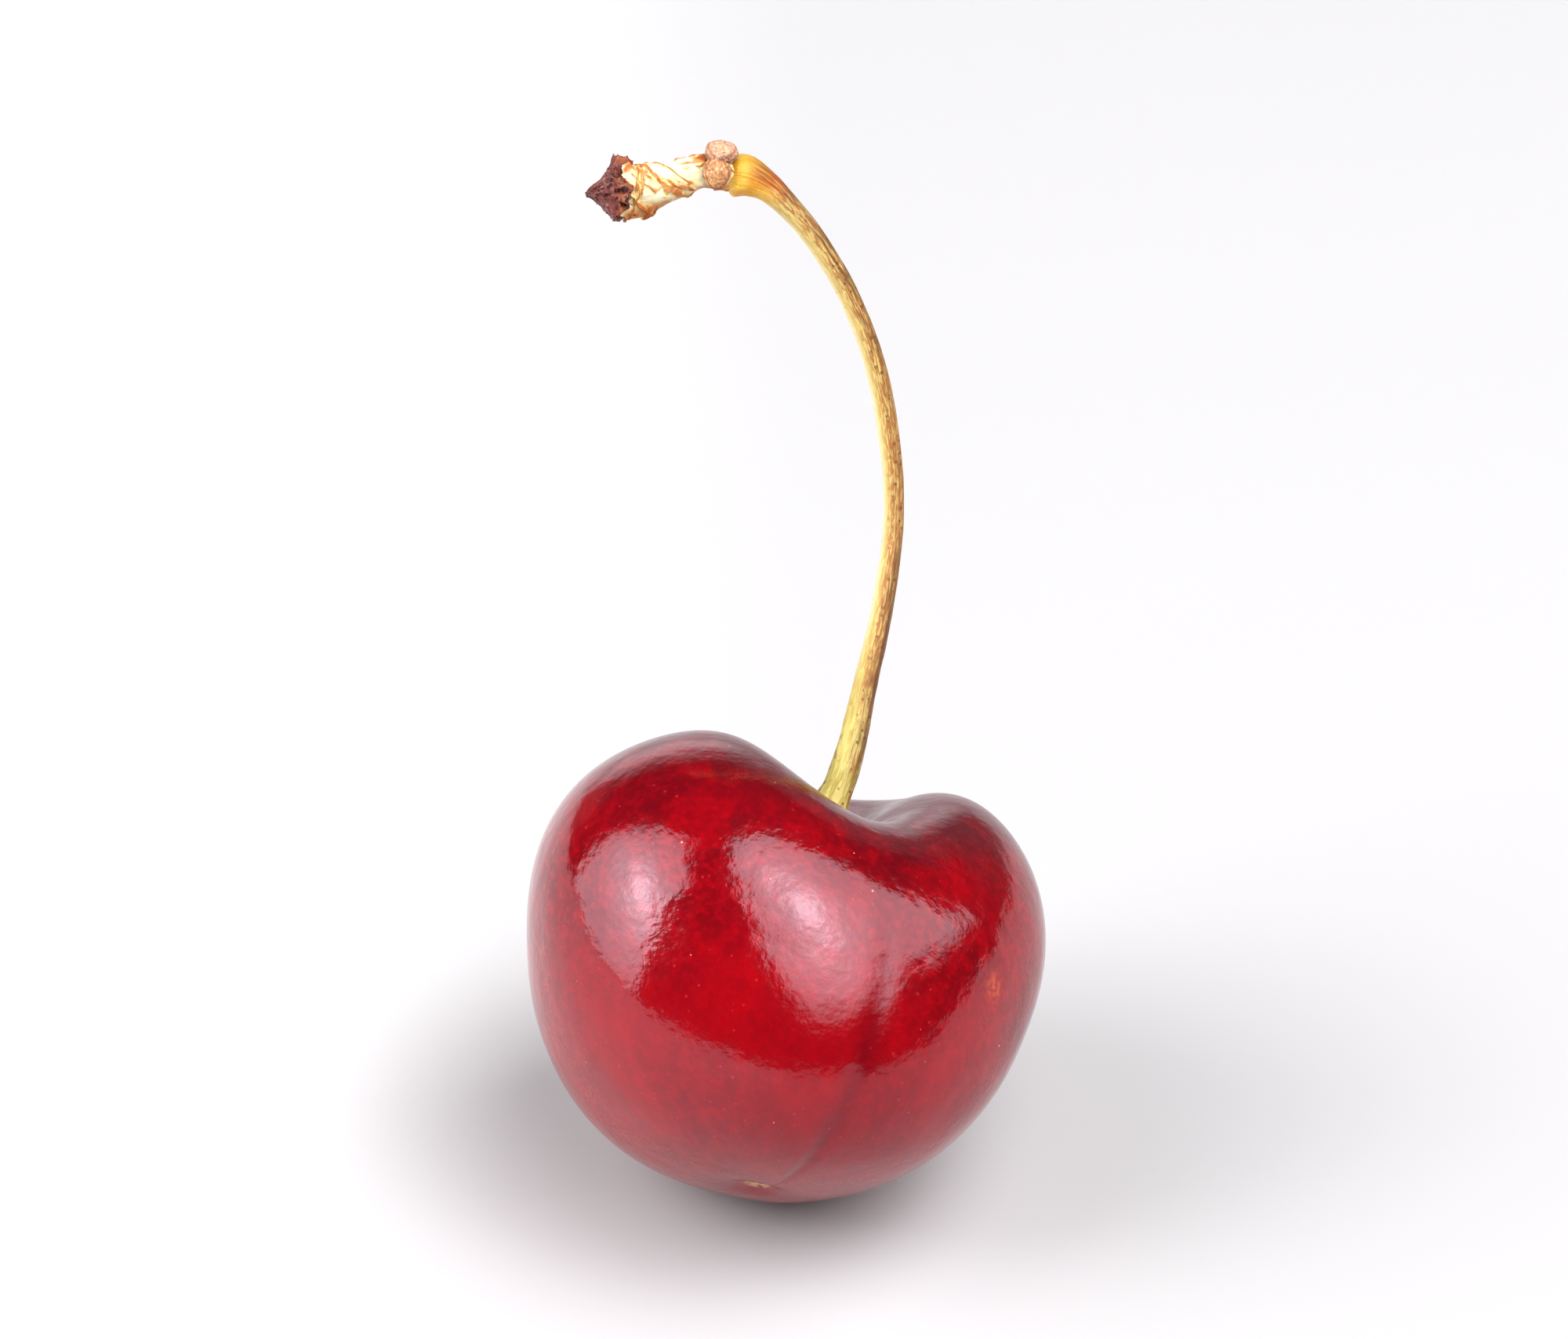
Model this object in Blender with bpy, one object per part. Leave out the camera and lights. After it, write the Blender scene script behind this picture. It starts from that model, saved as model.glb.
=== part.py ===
"""A sweet cherry on its stalk, lying on its lower back flank.

Metres, +Z up. The origin is the middle of the flat spot that the fruit rests on, and +Y runs
towards the side that the stalk leans to. The fruit is a polar surface round its own axis. The
stalk, the peeled spur, its bud scales and the dry tip follow routes that are written standing,
as right of, behind and above the fruit's centre, and are then laid back with the fruit.
"""

import math

import bmesh
import bpy
import numpy as np
from mathutils import Matrix, Vector

MM = 0.001

# Fruit: how far the skin lies from its centre
SUTURE_RADIUS = 12.2 * MM
BACK_RADIUS = 14.3 * MM
LEFT_RADIUS = 14.2 * MM
RIGHT_RADIUS = 12.75 * MM
CROWN_HEIGHT = 14.5 * MM
BASE_HEIGHT = 10.45 * MM
CROWN_POWER = 2.2
BASE_POWER = 2.5
LEFT_WAIST = 0.285
RIGHT_WAIST = 0.255
LEFT_SHOULDER = -0.23 * MM
RIGHT_SHOULDER = 0.33 * MM
SHOULDER_ANGLE = 0.62
SHOULDER_WIDTH = 0.30

# Fruit: the cavity round the stalk, with a valley from it to the suture
CAVITY_FLOOR = 9.0 * MM
CAVITY_WIDTH = 0.34
CAVITY_POWER = 2.6
VALLEY_DEPTH = 4.6 * MM
VALLEY_START = 0.32
VALLEY_END = 0.86

# Fruit: suture, the flower's scar and the slow waves of the skin
SUTURE_SWAY = 0.05
SUTURE_FLAT = 0.08 * MM
SUTURE_FLAT_WIDTH = 0.22
SUTURE_LINE = 0.2 * MM
SUTURE_LINE_CROWN = 0.1
SUTURE_LINE_WIDTH = 0.05
SCAR_DEPTH = 0.45 * MM
SCAR_WIDTH = 0.15
WAVE_HEIGHT = 0.09 * MM

# Fruit: fineness of its mesh, closest along the suture
MERIDIANS = 64
PARALLELS = 44
SUTURE_CROWDING = 0.6

# Pose: the suture's turn, the axis's lean, and how far everything is laid back
SUTURE_TURN = math.radians(23)
BACK_LEAN = math.radians(14)
RIGHT_LEAN = math.radians(10)
LAID_BACK = math.radians(36)
FRUIT_CENTRE = Vector((1.2, -2.7, 12.6)) * MM

# Stalk: route from the fruit's cavity to the spur, and radius by distance along it
STALK_ROUTE = [
    (1.9, 2.45, 9.75),
    (2.75, 2.75, 11.6),
    (4.1, 3.8, 16.8),
    (5.17, 4.5, 21.75),
    (5.67, 4.7, 26.4),
    (5.42, 4.3, 30.15),
    (4.22, 3.2, 35.45),
    (2.45, 2.0, 39.2),
    (0.3, 1.0, 42.15),
    (-1.6, 0.42, 43.8),
    (-2.3, 0.3, 44.1),
    (-2.85, 0.22, 44.2),
]
STALK_FOOT = (1.58, 2.25, 8.75)
STALK_PROFILE = [
    (0.2, 0.7),
    (0.45, 1.15),
    (0.8, 1.5),
    (1.1, 1.42),
    (1.6, 1.15),
    (2.4, 0.92),
    (4.0, 0.83),
    (7.0, 0.71),
    (11.0, 0.61),
    (17.0, 0.56),
    (24.0, 0.58),
    (30.0, 0.57),
    (34.2, 0.6),
    (36.2, 0.65),
    (37.2, 0.72),
    (38.2, 0.88),
    (38.8, 1.05),
    (39.4, 1.18),
]
STALK_SIDES = 14
STALK_RINGS = 52

# Spur: the peeled stub that the stalk grew on
SPUR_ROUTE = [
    (-2.96, 0.2, 44.21),
    (-4.45, 0.1, 44.26),
    (-6.2, -0.1, 43.85),
    (-7.95, -0.3, 43.3),
    (-8.8, -0.38, 43.22),
]
SPUR_PROFILE = [(0.0, 0.8), (1.6, 0.86), (3.4, 1.02), (5.0, 1.32), (6.0, 1.42)]
SPUR_SIDES = 18
SPUR_RINGS = 16
SPUR_RIDGE = 0.10
SPUR_TWIST = 1.9

# Bud scales: two pads that sit round the spur beside the stalk's knuckle. For each its turn from
# the front, its middle's distance along the spur, its thickness, and how flat it is on top
SCALES = {
    "front": (math.radians(-2), 1.02 * MM, 0.66 * MM, 4),
    "upper": (math.radians(72), 0.86 * MM, 0.9 * MM, 2),
}
SCALE_SEAT = 1.03 * MM
SCALE_RIM = 0.25
SCALE_HALF_LENGTH = 0.8 * MM
SCALE_HALF_TURN = math.radians(35)
SCALE_SPOKES = 16
SCALE_RINGS = 4

# Dry tip: a crumpled cone of bark with ragged blades round it
TIP_ROUTE = [(-8.92, -0.4, 43.2), (-9.7, -0.47, 43.17), (-10.4, -0.52, 43.16), (-10.85, -0.55, 43.02)]
TIP_PROFILE = [(0.0, 1.45), (0.35, 1.5), (0.8, 1.08), (1.15, 0.7), (1.55, 0.42), (1.92, 0.2)]
TIP_SIDES = 14
TIP_RINGS = 8
TIP_CRUMPLE = 0.10
TIP_BLADES = 6
TIP_SEED = 4

# Bark blades: sizes, how much their lengths vary, and how far their points lean in
BLADE_LENGTH = 1.4 * MM
BLADE_SPREAD = (0.7, 1.15)
BLADE_WIDTH = 1.5 * MM
BLADE_THICKNESS = 0.6 * MM
BLADE_ROOT = 0.95 * MM
BLADE_LEAN = (0.25, 0.5)
BLADE_WANDER = 0.2


def clear_scene():
    for item in list(bpy.data.objects):
        bpy.data.objects.remove(item, do_unlink=True)


def colour(name, rgb, roughness):
    material = bpy.data.materials.new(name)
    material.use_nodes = True
    shader = material.node_tree.nodes["Principled BSDF"]
    shader.inputs["Base Color"].default_value = (*rgb, 1)
    shader.inputs["Roughness"].default_value = roughness
    shader.inputs["Metallic"].default_value = 0
    return material


def new_object(name, bm, material, parent):
    """An object of this mesh, facing out, with round shading."""
    bmesh.ops.recalc_face_normals(bm, faces=bm.faces[:])
    mesh = bpy.data.meshes.new(name)
    bm.to_mesh(mesh)
    bm.free()
    mesh.materials.append(material)
    mesh.shade_smooth()
    item = bpy.data.objects.new(name, mesh)
    item.parent = parent
    bpy.context.scene.collection.objects.link(item)
    return item


def skin_of_rings(rings, first, last):
    """A closed mesh over rings of points, drawn to one point at each end."""
    bm = bmesh.new()
    loops = [[bm.verts.new(point) for point in ring] for ring in rings]
    for near, far in zip(loops, loops[1:]):
        for k in range(len(near)):
            bm.faces.new((near[k - 1], near[k], far[k], far[k - 1]))
    for loop, end in ((loops[0], first), (loops[-1], last)):
        tip = bm.verts.new(end)
        for k in range(len(loop)):
            bm.faces.new((loop[k - 1], loop[k], tip))
    return bm


def bell(distance, width, power=2):
    """1 in the middle, falling smoothly to 0 past this width."""
    return np.exp(-(abs(distance / width) ** power))


def skin_distance(theta, phi):
    """How far the skin lies from the fruit's centre.

    theta is the angle from the stalk's end of the axis, and phi the turn from the suture, which
    grows towards the right cheek.
    """
    to_suture, to_right = np.cos(phi), np.sin(phi)
    upward = np.cos(theta)
    cheek = to_right**2
    side = np.where(to_right > 0, RIGHT_RADIUS, LEFT_RADIUS)
    end = np.where(to_suture > 0, SUTURE_RADIUS, BACK_RADIUS)
    girth = ((to_right / side) ** 2 + (to_suture / end) ** 2) ** -0.5
    girth = girth * (1 + np.where(to_right > 0, RIGHT_WAIST, LEFT_WAIST) * cheek * upward)
    height = np.where(upward > 0, CROWN_HEIGHT, BASE_HEIGHT)
    power = BASE_POWER + (CROWN_POWER - BASE_POWER) * (1 + upward) / 2
    body = ((np.sin(theta) / girth) ** power + abs(upward / height) ** power) ** (-1 / power)
    shoulder = np.where(to_right > 0, RIGHT_SHOULDER, LEFT_SHOULDER) * cheek
    body += shoulder * bell(theta - SHOULDER_ANGLE, SHOULDER_WIDTH)
    body -= (CROWN_HEIGHT - CAVITY_FLOOR) * bell(theta, CAVITY_WIDTH, CAVITY_POWER)
    valley = (1 - bell(theta, VALLEY_START, 4)) * bell(theta, VALLEY_END)
    body -= VALLEY_DEPTH * np.maximum(to_suture, 0) ** 2 * valley
    return body - skin_relief(theta, phi)


def skin_relief(theta, phi):
    """Depth of the suture, the flower's scar and the slow waves."""
    sideways = np.sin(theta)
    from_line = phi - SUTURE_SWAY * sideways
    lower = (1 - np.cos(theta)) / 2
    line = SUTURE_LINE_CROWN + (1 - SUTURE_LINE_CROWN) * lower**3
    suture = SUTURE_FLAT * bell(from_line, SUTURE_FLAT_WIDTH)
    suture = suture + SUTURE_LINE * line * bell(from_line, SUTURE_LINE_WIDTH)
    scar = SCAR_DEPTH * bell(math.pi - theta, SCAR_WIDTH)
    waves = np.sin(3 * phi + 0.8) * np.sin(2 * theta + 0.5) + 0.6 * np.sin(5 * phi - 1.1)
    return suture * sideways + scar + WAVE_HEIGHT * waves * sideways**2


def skin_point(theta, phi):
    distance = skin_distance(theta, phi)
    across = distance * np.sin(theta)
    return Vector((across * np.sin(phi), -across * np.cos(phi), distance * np.cos(theta)))


def meridian_turns():
    """Turns from the suture, crowded near it."""
    even = np.arange(MERIDIANS) / MERIDIANS * 2 * math.pi
    return even - SUTURE_CROWDING * np.sin(even)


def fruit(parent):
    turns = meridian_turns()
    turns = np.where(turns > math.pi, turns - 2 * math.pi, turns)
    steps = np.arange(1, PARALLELS) / PARALLELS * math.pi
    rings = [[skin_point(theta, phi) for phi in turns] for theta in steps]
    bm = skin_of_rings(rings, skin_point(0.0, 0.0), skin_point(math.pi, 0.0))
    lean = Matrix.Rotation(RIGHT_LEAN, 4, "Y") @ Matrix.Rotation(-BACK_LEAN, 4, "X")
    lean = lean @ Matrix.Rotation(SUTURE_TURN, 4, "Z")
    rest_on_flat(bm, parent.matrix_world @ lean)
    item = new_object("fruit", bm, colour("cherry_skin", (0.35, 0.005, 0.02), 0.18), parent)
    item.matrix_local = lean
    return item


def rest_on_flat(bm, placed):
    """Cuts the mesh, which will be placed by this matrix, level with the surface it rests on."""
    back = placed.inverted()
    geometry = bm.verts[:] + bm.edges[:] + bm.faces[:]
    cut = bmesh.ops.bisect_plane(
        bm,
        geom=geometry,
        plane_co=back @ Vector((0, 0, 0)),
        plane_no=back.to_3x3() @ Vector((0, 0, 1)),
        clear_inner=True,
    )
    rim = [piece for piece in cut["geom_cut"] if isinstance(piece, bmesh.types.BMEdge)]
    bmesh.ops.holes_fill(bm, edges=rim)
    for edge in rim:
        edge.smooth = False


def smooth_route(points, count):
    """Points at even distances along a smooth curve through these, in metres."""
    given = np.array(points) * MM
    along = np.r_[0, np.cumsum(np.linalg.norm(np.diff(given, axis=0), axis=1))]
    slopes = np.gradient(given, along, axis=0)
    fine = np.linspace(0, along[-1], 40 * len(given))
    span = np.clip(np.searchsorted(along, fine) - 1, 0, len(given) - 2)
    length = (along[span + 1] - along[span])[:, None]
    t = (fine - along[span])[:, None] / length
    curve = (2 * t**3 - 3 * t**2 + 1) * given[span] + (3 * t**2 - 2 * t**3) * given[span + 1]
    curve += length * (t**3 - 2 * t**2 + t) * slopes[span]
    curve += length * (t**3 - t**2) * slopes[span + 1]
    travelled = np.r_[0, np.cumsum(np.linalg.norm(np.diff(curve, axis=0), axis=1))]
    wanted = np.linspace(0, travelled[-1], count)
    return np.stack([np.interp(wanted, travelled, curve[:, k]) for k in range(3)], 1), wanted


def frames_along(path):
    """Tangent, sideways and upward directions that turn as little as they can."""
    tangents = np.gradient(path, axis=0)
    tangents /= np.linalg.norm(tangents, axis=1)[:, None]
    facing = np.array([0.0, -1.0, 0.0])
    frames = []
    for tangent in tangents:
        facing = facing - tangent * facing.dot(tangent)
        facing /= np.linalg.norm(facing)
        frames.append((tangent, facing, np.cross(tangent, facing)))
    return frames


def profile_radius(profile, distance):
    """Radius at a distance along, rounded between the profile's points."""
    along, radii = np.array(profile).T * MM
    slopes = np.gradient(radii, along)
    span = int(np.clip(np.searchsorted(along, distance) - 1, 0, len(along) - 2))
    length = along[span + 1] - along[span]
    t = min(max((distance - along[span]) / length, 0), 1)
    value = (2 * t**3 - 3 * t**2 + 1) * radii[span] + (3 * t**2 - 2 * t**3) * radii[span + 1]
    value += length * (t**3 - 2 * t**2 + t) * slopes[span]
    return value + length * (t**3 - t**2) * slopes[span + 1]


def ring_round(centre, frame, sides, radius):
    """A ring of points; radius is a function of the turn, which starts at the front."""
    _, facing, rising = frame
    turns = np.arange(sides) / sides * 2 * math.pi
    return [centre + radius(a) * (facing * math.cos(a) + rising * math.sin(a)) for a in turns]


def swept(route, profile, sides, count, relief):
    """A tube along the route, with rounded radii and a relief of (distance, turn)."""
    path, travelled = smooth_route(route, count)
    frames = frames_along(path)
    rings = []
    for centre, frame, distance in zip(path, frames, travelled):
        base = profile_radius(profile, distance)
        rings.append(ring_round(centre, frame, sides, lambda a: base * relief(distance, a)))
    return rings, path


def stalk(parent):
    """The stalk, from its flared foot in the cavity to its knuckle at the spur."""
    route = [STALK_FOOT, *STALK_ROUTE]
    path, travelled = smooth_route(route, 400)
    frames = frames_along(path)
    foot = [distance * MM for distance, _ in STALK_PROFILE[:6]]
    shaft = np.linspace(foot[-1], travelled[-1], STALK_RINGS)[1:]
    rings = []
    for distance in [*foot, *shaft]:
        k = int(np.searchsorted(travelled, distance).clip(0, len(path) - 1))
        base = profile_radius(STALK_PROFILE, distance)
        rings.append(ring_round(path[k], frames[k], STALK_SIDES, lambda a: base))
    bm = skin_of_rings(rings, path[1], path[-1])
    return new_object("stalk", bm, colour("stalk_green", (0.45, 0.42, 0.08), 0.55), parent)


def torn_ridges(distance, turn):
    """Diagonal ridges of torn bark on the peeled wood."""
    along = distance / MM
    ridges = 0.6 * math.cos(3 * turn + SPUR_TWIST * along)
    ridges += 0.4 * math.cos(5 * turn - 1.3 * along + 1)
    return 1 + SPUR_RIDGE * ridges


def spur(parent):
    rings, path = swept(SPUR_ROUTE, SPUR_PROFILE, SPUR_SIDES, SPUR_RINGS, torn_ridges)
    bm = skin_of_rings(rings, path[0], path[-1])
    return new_object("spur", bm, colour("peeled_wood", (0.80, 0.58, 0.25), 0.7), parent)


def bud_scale(side, parent):
    """A rounded pad on the spur, hollowed to fit round it."""
    middle_turn, middle, thickness, flatness = SCALES[side]
    path, travelled = smooth_route(SPUR_ROUTE, 200)
    frames = frames_along(path)

    def on_pad(reach, spoke, height):
        distance = middle + SCALE_HALF_LENGTH * reach * math.cos(spoke)
        turn = middle_turn + SCALE_HALF_TURN * reach * math.sin(spoke)
        k = int(np.searchsorted(travelled, distance))
        _, facing, rising = frames[k]
        outward = facing * math.cos(turn) + rising * math.sin(turn)
        return path[k] + (SCALE_SEAT + height) * outward

    spokes = np.arange(SCALE_SPOKES) / SCALE_SPOKES * 2 * math.pi
    reaches = np.sin(np.arange(1, SCALE_RINGS + 1) / SCALE_RINGS * math.pi / 2)
    rings = []
    for reach in reaches:
        dome = math.sqrt(max(1 - reach**flatness, 0))
        crown = thickness * (SCALE_RIM + (1 - SCALE_RIM) * dome)
        rings.append([on_pad(reach, spoke, crown) for spoke in spokes])
    for reach in reaches[::-1]:
        rings.append([on_pad(reach, spoke, 0) for spoke in spokes])
    bm = skin_of_rings(rings, on_pad(0, 0, thickness), on_pad(0, 0, 0))
    shade = colour("bud_scale_" + side, (0.62, 0.36, 0.22), 0.65)
    return new_object("bud_scale_" + side, bm, shade, parent)


def crumpled(distance, turn):
    along = distance / MM
    folds = math.cos(3 * turn + 1.2 + 1.5 * along) + 0.7 * math.cos(5 * turn - 2 * along)
    return 1 + TIP_CRUMPLE * folds


def bark_blade(centre, frame, turn, draw):
    """One ragged blade of bark, rooted in the cone and pointing past its end.

    Its outline gives three places along it: how far along, how far out and how wide there.
    """
    tangent, facing, rising = frame
    outward = facing * math.cos(turn) + rising * math.sin(turn)
    sideways = np.cross(tangent, outward)
    length = BLADE_LENGTH * draw.uniform(*BLADE_SPREAD)
    lean = draw.uniform(*BLADE_LEAN)
    outline = ((0.12, 1.0, 0.5), (0.55, 0.95, 0.42), (1.0, lean, 0.12))
    bm = bmesh.new()
    for along, reach, half in outline:
        for sign in (-1, 1):
            for rise in (0, BLADE_THICKNESS):
                out = outward * (BLADE_ROOT * reach + rise)
                spot = centre + tangent * length * along + out
                bm.verts.new(spot + sideways * sign * half * BLADE_WIDTH)
    bmesh.ops.convex_hull(bm, input=bm.verts[:])
    loose = [vert for vert in bm.verts if not vert.link_faces]
    bmesh.ops.delete(bm, geom=loose, context="VERTS")
    return bm


def dry_tip(parent):
    """The torn end of the spur: the cone and its blades joined into one body."""
    shade = colour("dry_bark", (0.13, 0.035, 0.03), 0.75)
    rings, path = swept(TIP_ROUTE, TIP_PROFILE, TIP_SIDES, TIP_RINGS, crumpled)
    cone = new_object("dry_tip", skin_of_rings(rings, path[0], path[-1]), shade, parent)
    draw = np.random.default_rng(TIP_SEED)
    frame = frames_along(path)[0]
    blades = bpy.data.collections.new("bark_blades")
    for k in range(TIP_BLADES):
        turn = (k + draw.uniform(-BLADE_WANDER, BLADE_WANDER)) / TIP_BLADES * 2 * math.pi
        bm = bark_blade(path[0], frame, turn, draw)
        item = new_object("bark_blade_" + str(k), bm, shade, parent)
        bpy.context.scene.collection.objects.unlink(item)
        blades.objects.link(item)
    join_blades(cone, blades)
    return cone


def join_blades(cone, blades):
    """Applies the union, so that the blades' own objects can go."""
    union = cone.modifiers.new("join", "BOOLEAN")
    union.operation = "UNION"
    union.operand_type = "COLLECTION"
    union.collection = blades
    bpy.context.view_layer.update()
    graph = bpy.context.evaluated_depsgraph_get()
    joined = bpy.data.meshes.new_from_object(cone.evaluated_get(graph))
    cone.modifiers.clear()
    cone.data = joined
    for item in list(blades.objects):
        bpy.data.objects.remove(item, do_unlink=True)
    bpy.data.collections.remove(blades)


def laid_back_frame():
    """An empty at the fruit's centre that lays everything parented to it back."""
    empty = bpy.data.objects.new("laid_back", None)
    empty.location = FRUIT_CENTRE
    empty.rotation_euler = (-LAID_BACK, 0, 0)
    bpy.context.scene.collection.objects.link(empty)
    bpy.context.view_layer.update()
    return empty


def main():
    clear_scene()
    frame = laid_back_frame()
    fruit(frame)
    stalk(frame)
    spur(frame)
    for side in SCALES:
        bud_scale(side, frame)
    dry_tip(frame)


main()
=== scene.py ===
"""The looks of a sweet cherry on its stalk: waxy skin, stalk, peeled spur, scales and dry tip."""

import math
from functools import partialmethod
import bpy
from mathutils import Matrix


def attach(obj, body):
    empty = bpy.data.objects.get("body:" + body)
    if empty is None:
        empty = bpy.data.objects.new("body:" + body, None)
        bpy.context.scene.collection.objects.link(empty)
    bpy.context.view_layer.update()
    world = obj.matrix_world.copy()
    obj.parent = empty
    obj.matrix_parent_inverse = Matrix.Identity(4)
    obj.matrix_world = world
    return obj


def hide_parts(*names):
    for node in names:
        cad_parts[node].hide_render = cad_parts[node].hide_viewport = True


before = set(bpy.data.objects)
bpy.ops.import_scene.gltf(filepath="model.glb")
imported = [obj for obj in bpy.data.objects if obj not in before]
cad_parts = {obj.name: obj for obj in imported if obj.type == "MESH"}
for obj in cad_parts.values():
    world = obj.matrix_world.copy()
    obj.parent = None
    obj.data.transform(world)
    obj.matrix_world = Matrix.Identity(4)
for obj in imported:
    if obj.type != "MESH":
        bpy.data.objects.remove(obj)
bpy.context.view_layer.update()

from types import SimpleNamespace

import bmesh
import bpy
import numpy as np
from bpy.props import FloatProperty, FloatVectorProperty, IntProperty, PointerProperty
from mathutils import Matrix, Vector

bl_info = {
    "name": "Sweet Cherry on Its Stalk",
    "version": (1, 0, 0),
    "blender": (4, 5, 0),
    "location": "3D View > Sidebar > Cherry",
    "description": "Dresses the packed cherry in its skin, stalk, peeled spur, scales and dry tip",
    "category": "Add Mesh",
}

MM = 0.001

# How the cherry lies. Routes are written standing, as right of, behind and above its centre
FRUIT_CENTRE = Vector((1.2, -2.7, 12.6)) * MM
LAID_BACK = Matrix.Rotation(math.radians(-36), 4, "X")
FRUIT_LEAN = (
    Matrix.Rotation(math.radians(10), 4, "Y")
    @ Matrix.Rotation(math.radians(-14), 4, "X")
    @ Matrix.Rotation(math.radians(23), 4, "Z")
)

# How much closer the meridians lie at the suture, where the skin has its finest line
CLOSER_AT_SUTURE = 0.5

# Stalk: route in millimetres, radius by distance along it, and the share of its length over
# which each end rounds off
STALK_ROUTE = [
    (1.58, 2.25, 8.75), (1.9, 2.45, 9.75), (2.75, 2.75, 11.6), (4.1, 3.8, 16.8),
    (5.17, 4.5, 21.75), (5.67, 4.7, 26.4), (5.42, 4.3, 30.15), (4.22, 3.2, 35.45),
    (2.45, 2.0, 39.2), (0.3, 1.0, 42.15), (-1.6, 0.42, 43.8), (-2.3, 0.3, 44.1),
    (-2.85, 0.22, 44.2), (-3.2, 0.18, 44.22),
]
STALK_PROFILE = [
    (0.2, 0.7), (0.45, 1.15), (0.8, 1.5), (1.1, 1.42), (1.6, 1.15), (2.4, 0.92), (4.0, 0.83),
    (7.0, 0.71), (11.0, 0.61), (17.0, 0.56), (24.0, 0.58), (30.0, 0.57), (34.2, 0.6),
    (36.2, 0.65), (37.2, 0.72), (38.2, 0.86), (38.8, 1.02), (39.4, 1.15), (39.8, 1.08),
    (40.0, 0.9), (40.15, 0.6),
]
STALK_CAP = 0.008

# Spur and dry tip, likewise
SPUR_ROUTE = [
    (-2.96, 0.2, 44.21), (-4.45, 0.1, 44.26), (-6.2, -0.1, 43.85), (-7.95, -0.3, 43.3),
    (-8.8, -0.38, 43.22),
]
SPUR_PROFILE = [(0.0, 0.8), (1.6, 0.86), (3.4, 1.02), (5.0, 1.32), (6.0, 1.42)]
SPUR_CAP = 0.02
TIP_ROUTE = [
    (-8.7, -0.38, 43.2), (-9.7, -0.47, 43.17), (-10.4, -0.52, 43.16), (-10.85, -0.55, 43.02),
]
TIP_PROFILE = [(0.0, 1.4), (0.55, 1.5), (1.0, 1.1), (1.35, 0.7), (1.75, 0.42), (2.1, 0.15)]
TIP_CAP = 0.06

# Bud scales: their route reaches over the knuckle. For each its turn from the front, its middle's
# distance along that route, its seat from the route's middle and its thickness in millimetres,
# how flat it is on top, and its share of the half length
SCALE_ROUTE = [(-2.3, 0.3, 44.1), *SPUR_ROUTE]
SCALE_PROFILE = [(0.0, 0.8), (6.6, 1.42)]
SCALE_PLACES = {
    "front": (math.radians(-6), 1.68, 1.12, 0.52, 4.0, 1.03),
    "upper": (math.radians(55), 1.42, 1.06, 0.74, 3.0, 1.0),
}

# Colours of small marks on the skin, the stalk, the spur, the scales and the tip
PALE_DOT = (0.7, 0.35, 0.3)
PIT = (0.04, 0.002, 0.004)
GRAZE = (0.7, 0.14, 0.01)
GRAZE_DIRECTION = (0.58, -0.81, 0.11)
SCAR = (0.6, 0.34, 0.16)
FOOT_PATCH = (0.30, 0.10, 0.018)
FOOT_LIGHT = (0.80, 0.74, 0.26)
FOOT_NICK = (0.24, 0.08, 0.02)
# Painted highlight along the stalk's inner edge
CREAM_HIGHLIGHT = (0.92, 0.82, 0.46)
KNUCKLE_LIGHT = (0.99, 0.62, 0.07)
KNUCKLE_OLIVE = (0.56, 0.38, 0.02)
AMBER = (0.62, 0.20, 0.01)
BRUISE = (0.36, 0.045, 0.004)
PALE_GRAIN = (0.97, 0.95, 0.68)
STAIN = (0.95, 0.62, 0.12)
TORN_CORE = (0.34, 0.07, 0.004)
PALE_SCALE = (0.66, 0.34, 0.13)
PINK_SCALE = (0.66, 0.38, 0.27)
SCALE_FLECK = (0.92, 0.66, 0.44)
# Painted highlight on the crests of the dry tip
CREST_HIGHLIGHT = (0.46, 0.30, 0.27)
RED_BARK = (0.16, 0.014, 0.008)
FRAYED_RIM = (0.36, 0.09, 0.012)

# Softboxes: the directions of their corners and of their bright cores, as azimuth from the
# camera's side and elevation in degrees, and how far each corner's light fades in
LEFT_BOX = [
    (-108, 48, 0.2), (-101, 62, 0.2), (-82, 76, 0.2), (-44, 58, 0.25), (-53, 36, 0.3),
    (-58, 25, 0.3), (-62, 1, 0.12), (-107, 0.5, 0.08), (-109, 30, 0.2),
]
LEFT_CORE = (-69, 36)
RIGHT_BOX = [
    (-13, 76, 0.2), (95, 88, 0.12), (131, 73, 0.12), (128, 47, 0.12), (121, 36, 0.15),
    (118, 29, 0.15), (114, 12, 0.15), (104, 12, 0.2), (93, 17, 0.3), (84, 28, 0.35),
    (75, 27, 0.4), (62, 25, 0.45), (36, 24, 0.5), (13, 25, 0.5), (2, 38, 0.35), (-5, 56, 0.25),
]
RIGHT_CORE = (58, 63)
BACK_STRIP = [
    (160, 16, 0.7), (188, 32, 0.85), (216, 24, 0.8), (218, 0.5, 0.3), (188, 0.5, 0.1),
    (158, 0.5, 0.3),
]
BACK_CORE = (188, 6)

# Floor: its front edge, where it bends up at the back, half its width, the bend's radius and the
# backdrop's height, in metres, and the faces round the bend
FLOOR_FRONT = -1.6
FLOOR_BACK = 1.0
FLOOR_SIDE = 1.8
BEND_RADIUS = 0.25
BACKDROP_HEIGHT = 0.55
BEND_FACES = 16

# The photograph's view: the middle of the picture in the standing frame, and the lens
VIEW_CENTRE = Vector((-0.27, 0, 17.7)) * MM
VIEW_DISTANCE = 0.3956
VIEW_ELEVATION = math.radians(36)


def length(name, description, millimetres, low=0.0):
    """A length property, given in millimetres."""
    return FloatProperty(
        name=name,
        description=description,
        default=millimetres * MM,
        min=low * MM,
        precision=5,
        subtype="DISTANCE",
        unit="LENGTH",
    )


def number(name, description, value, low=-10.0, high=10.0):
    return FloatProperty(name=name, description=description, default=value, min=low, max=high)


def faces(name, description, value):
    return IntProperty(name=name, description=description, default=value, min=8)


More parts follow.
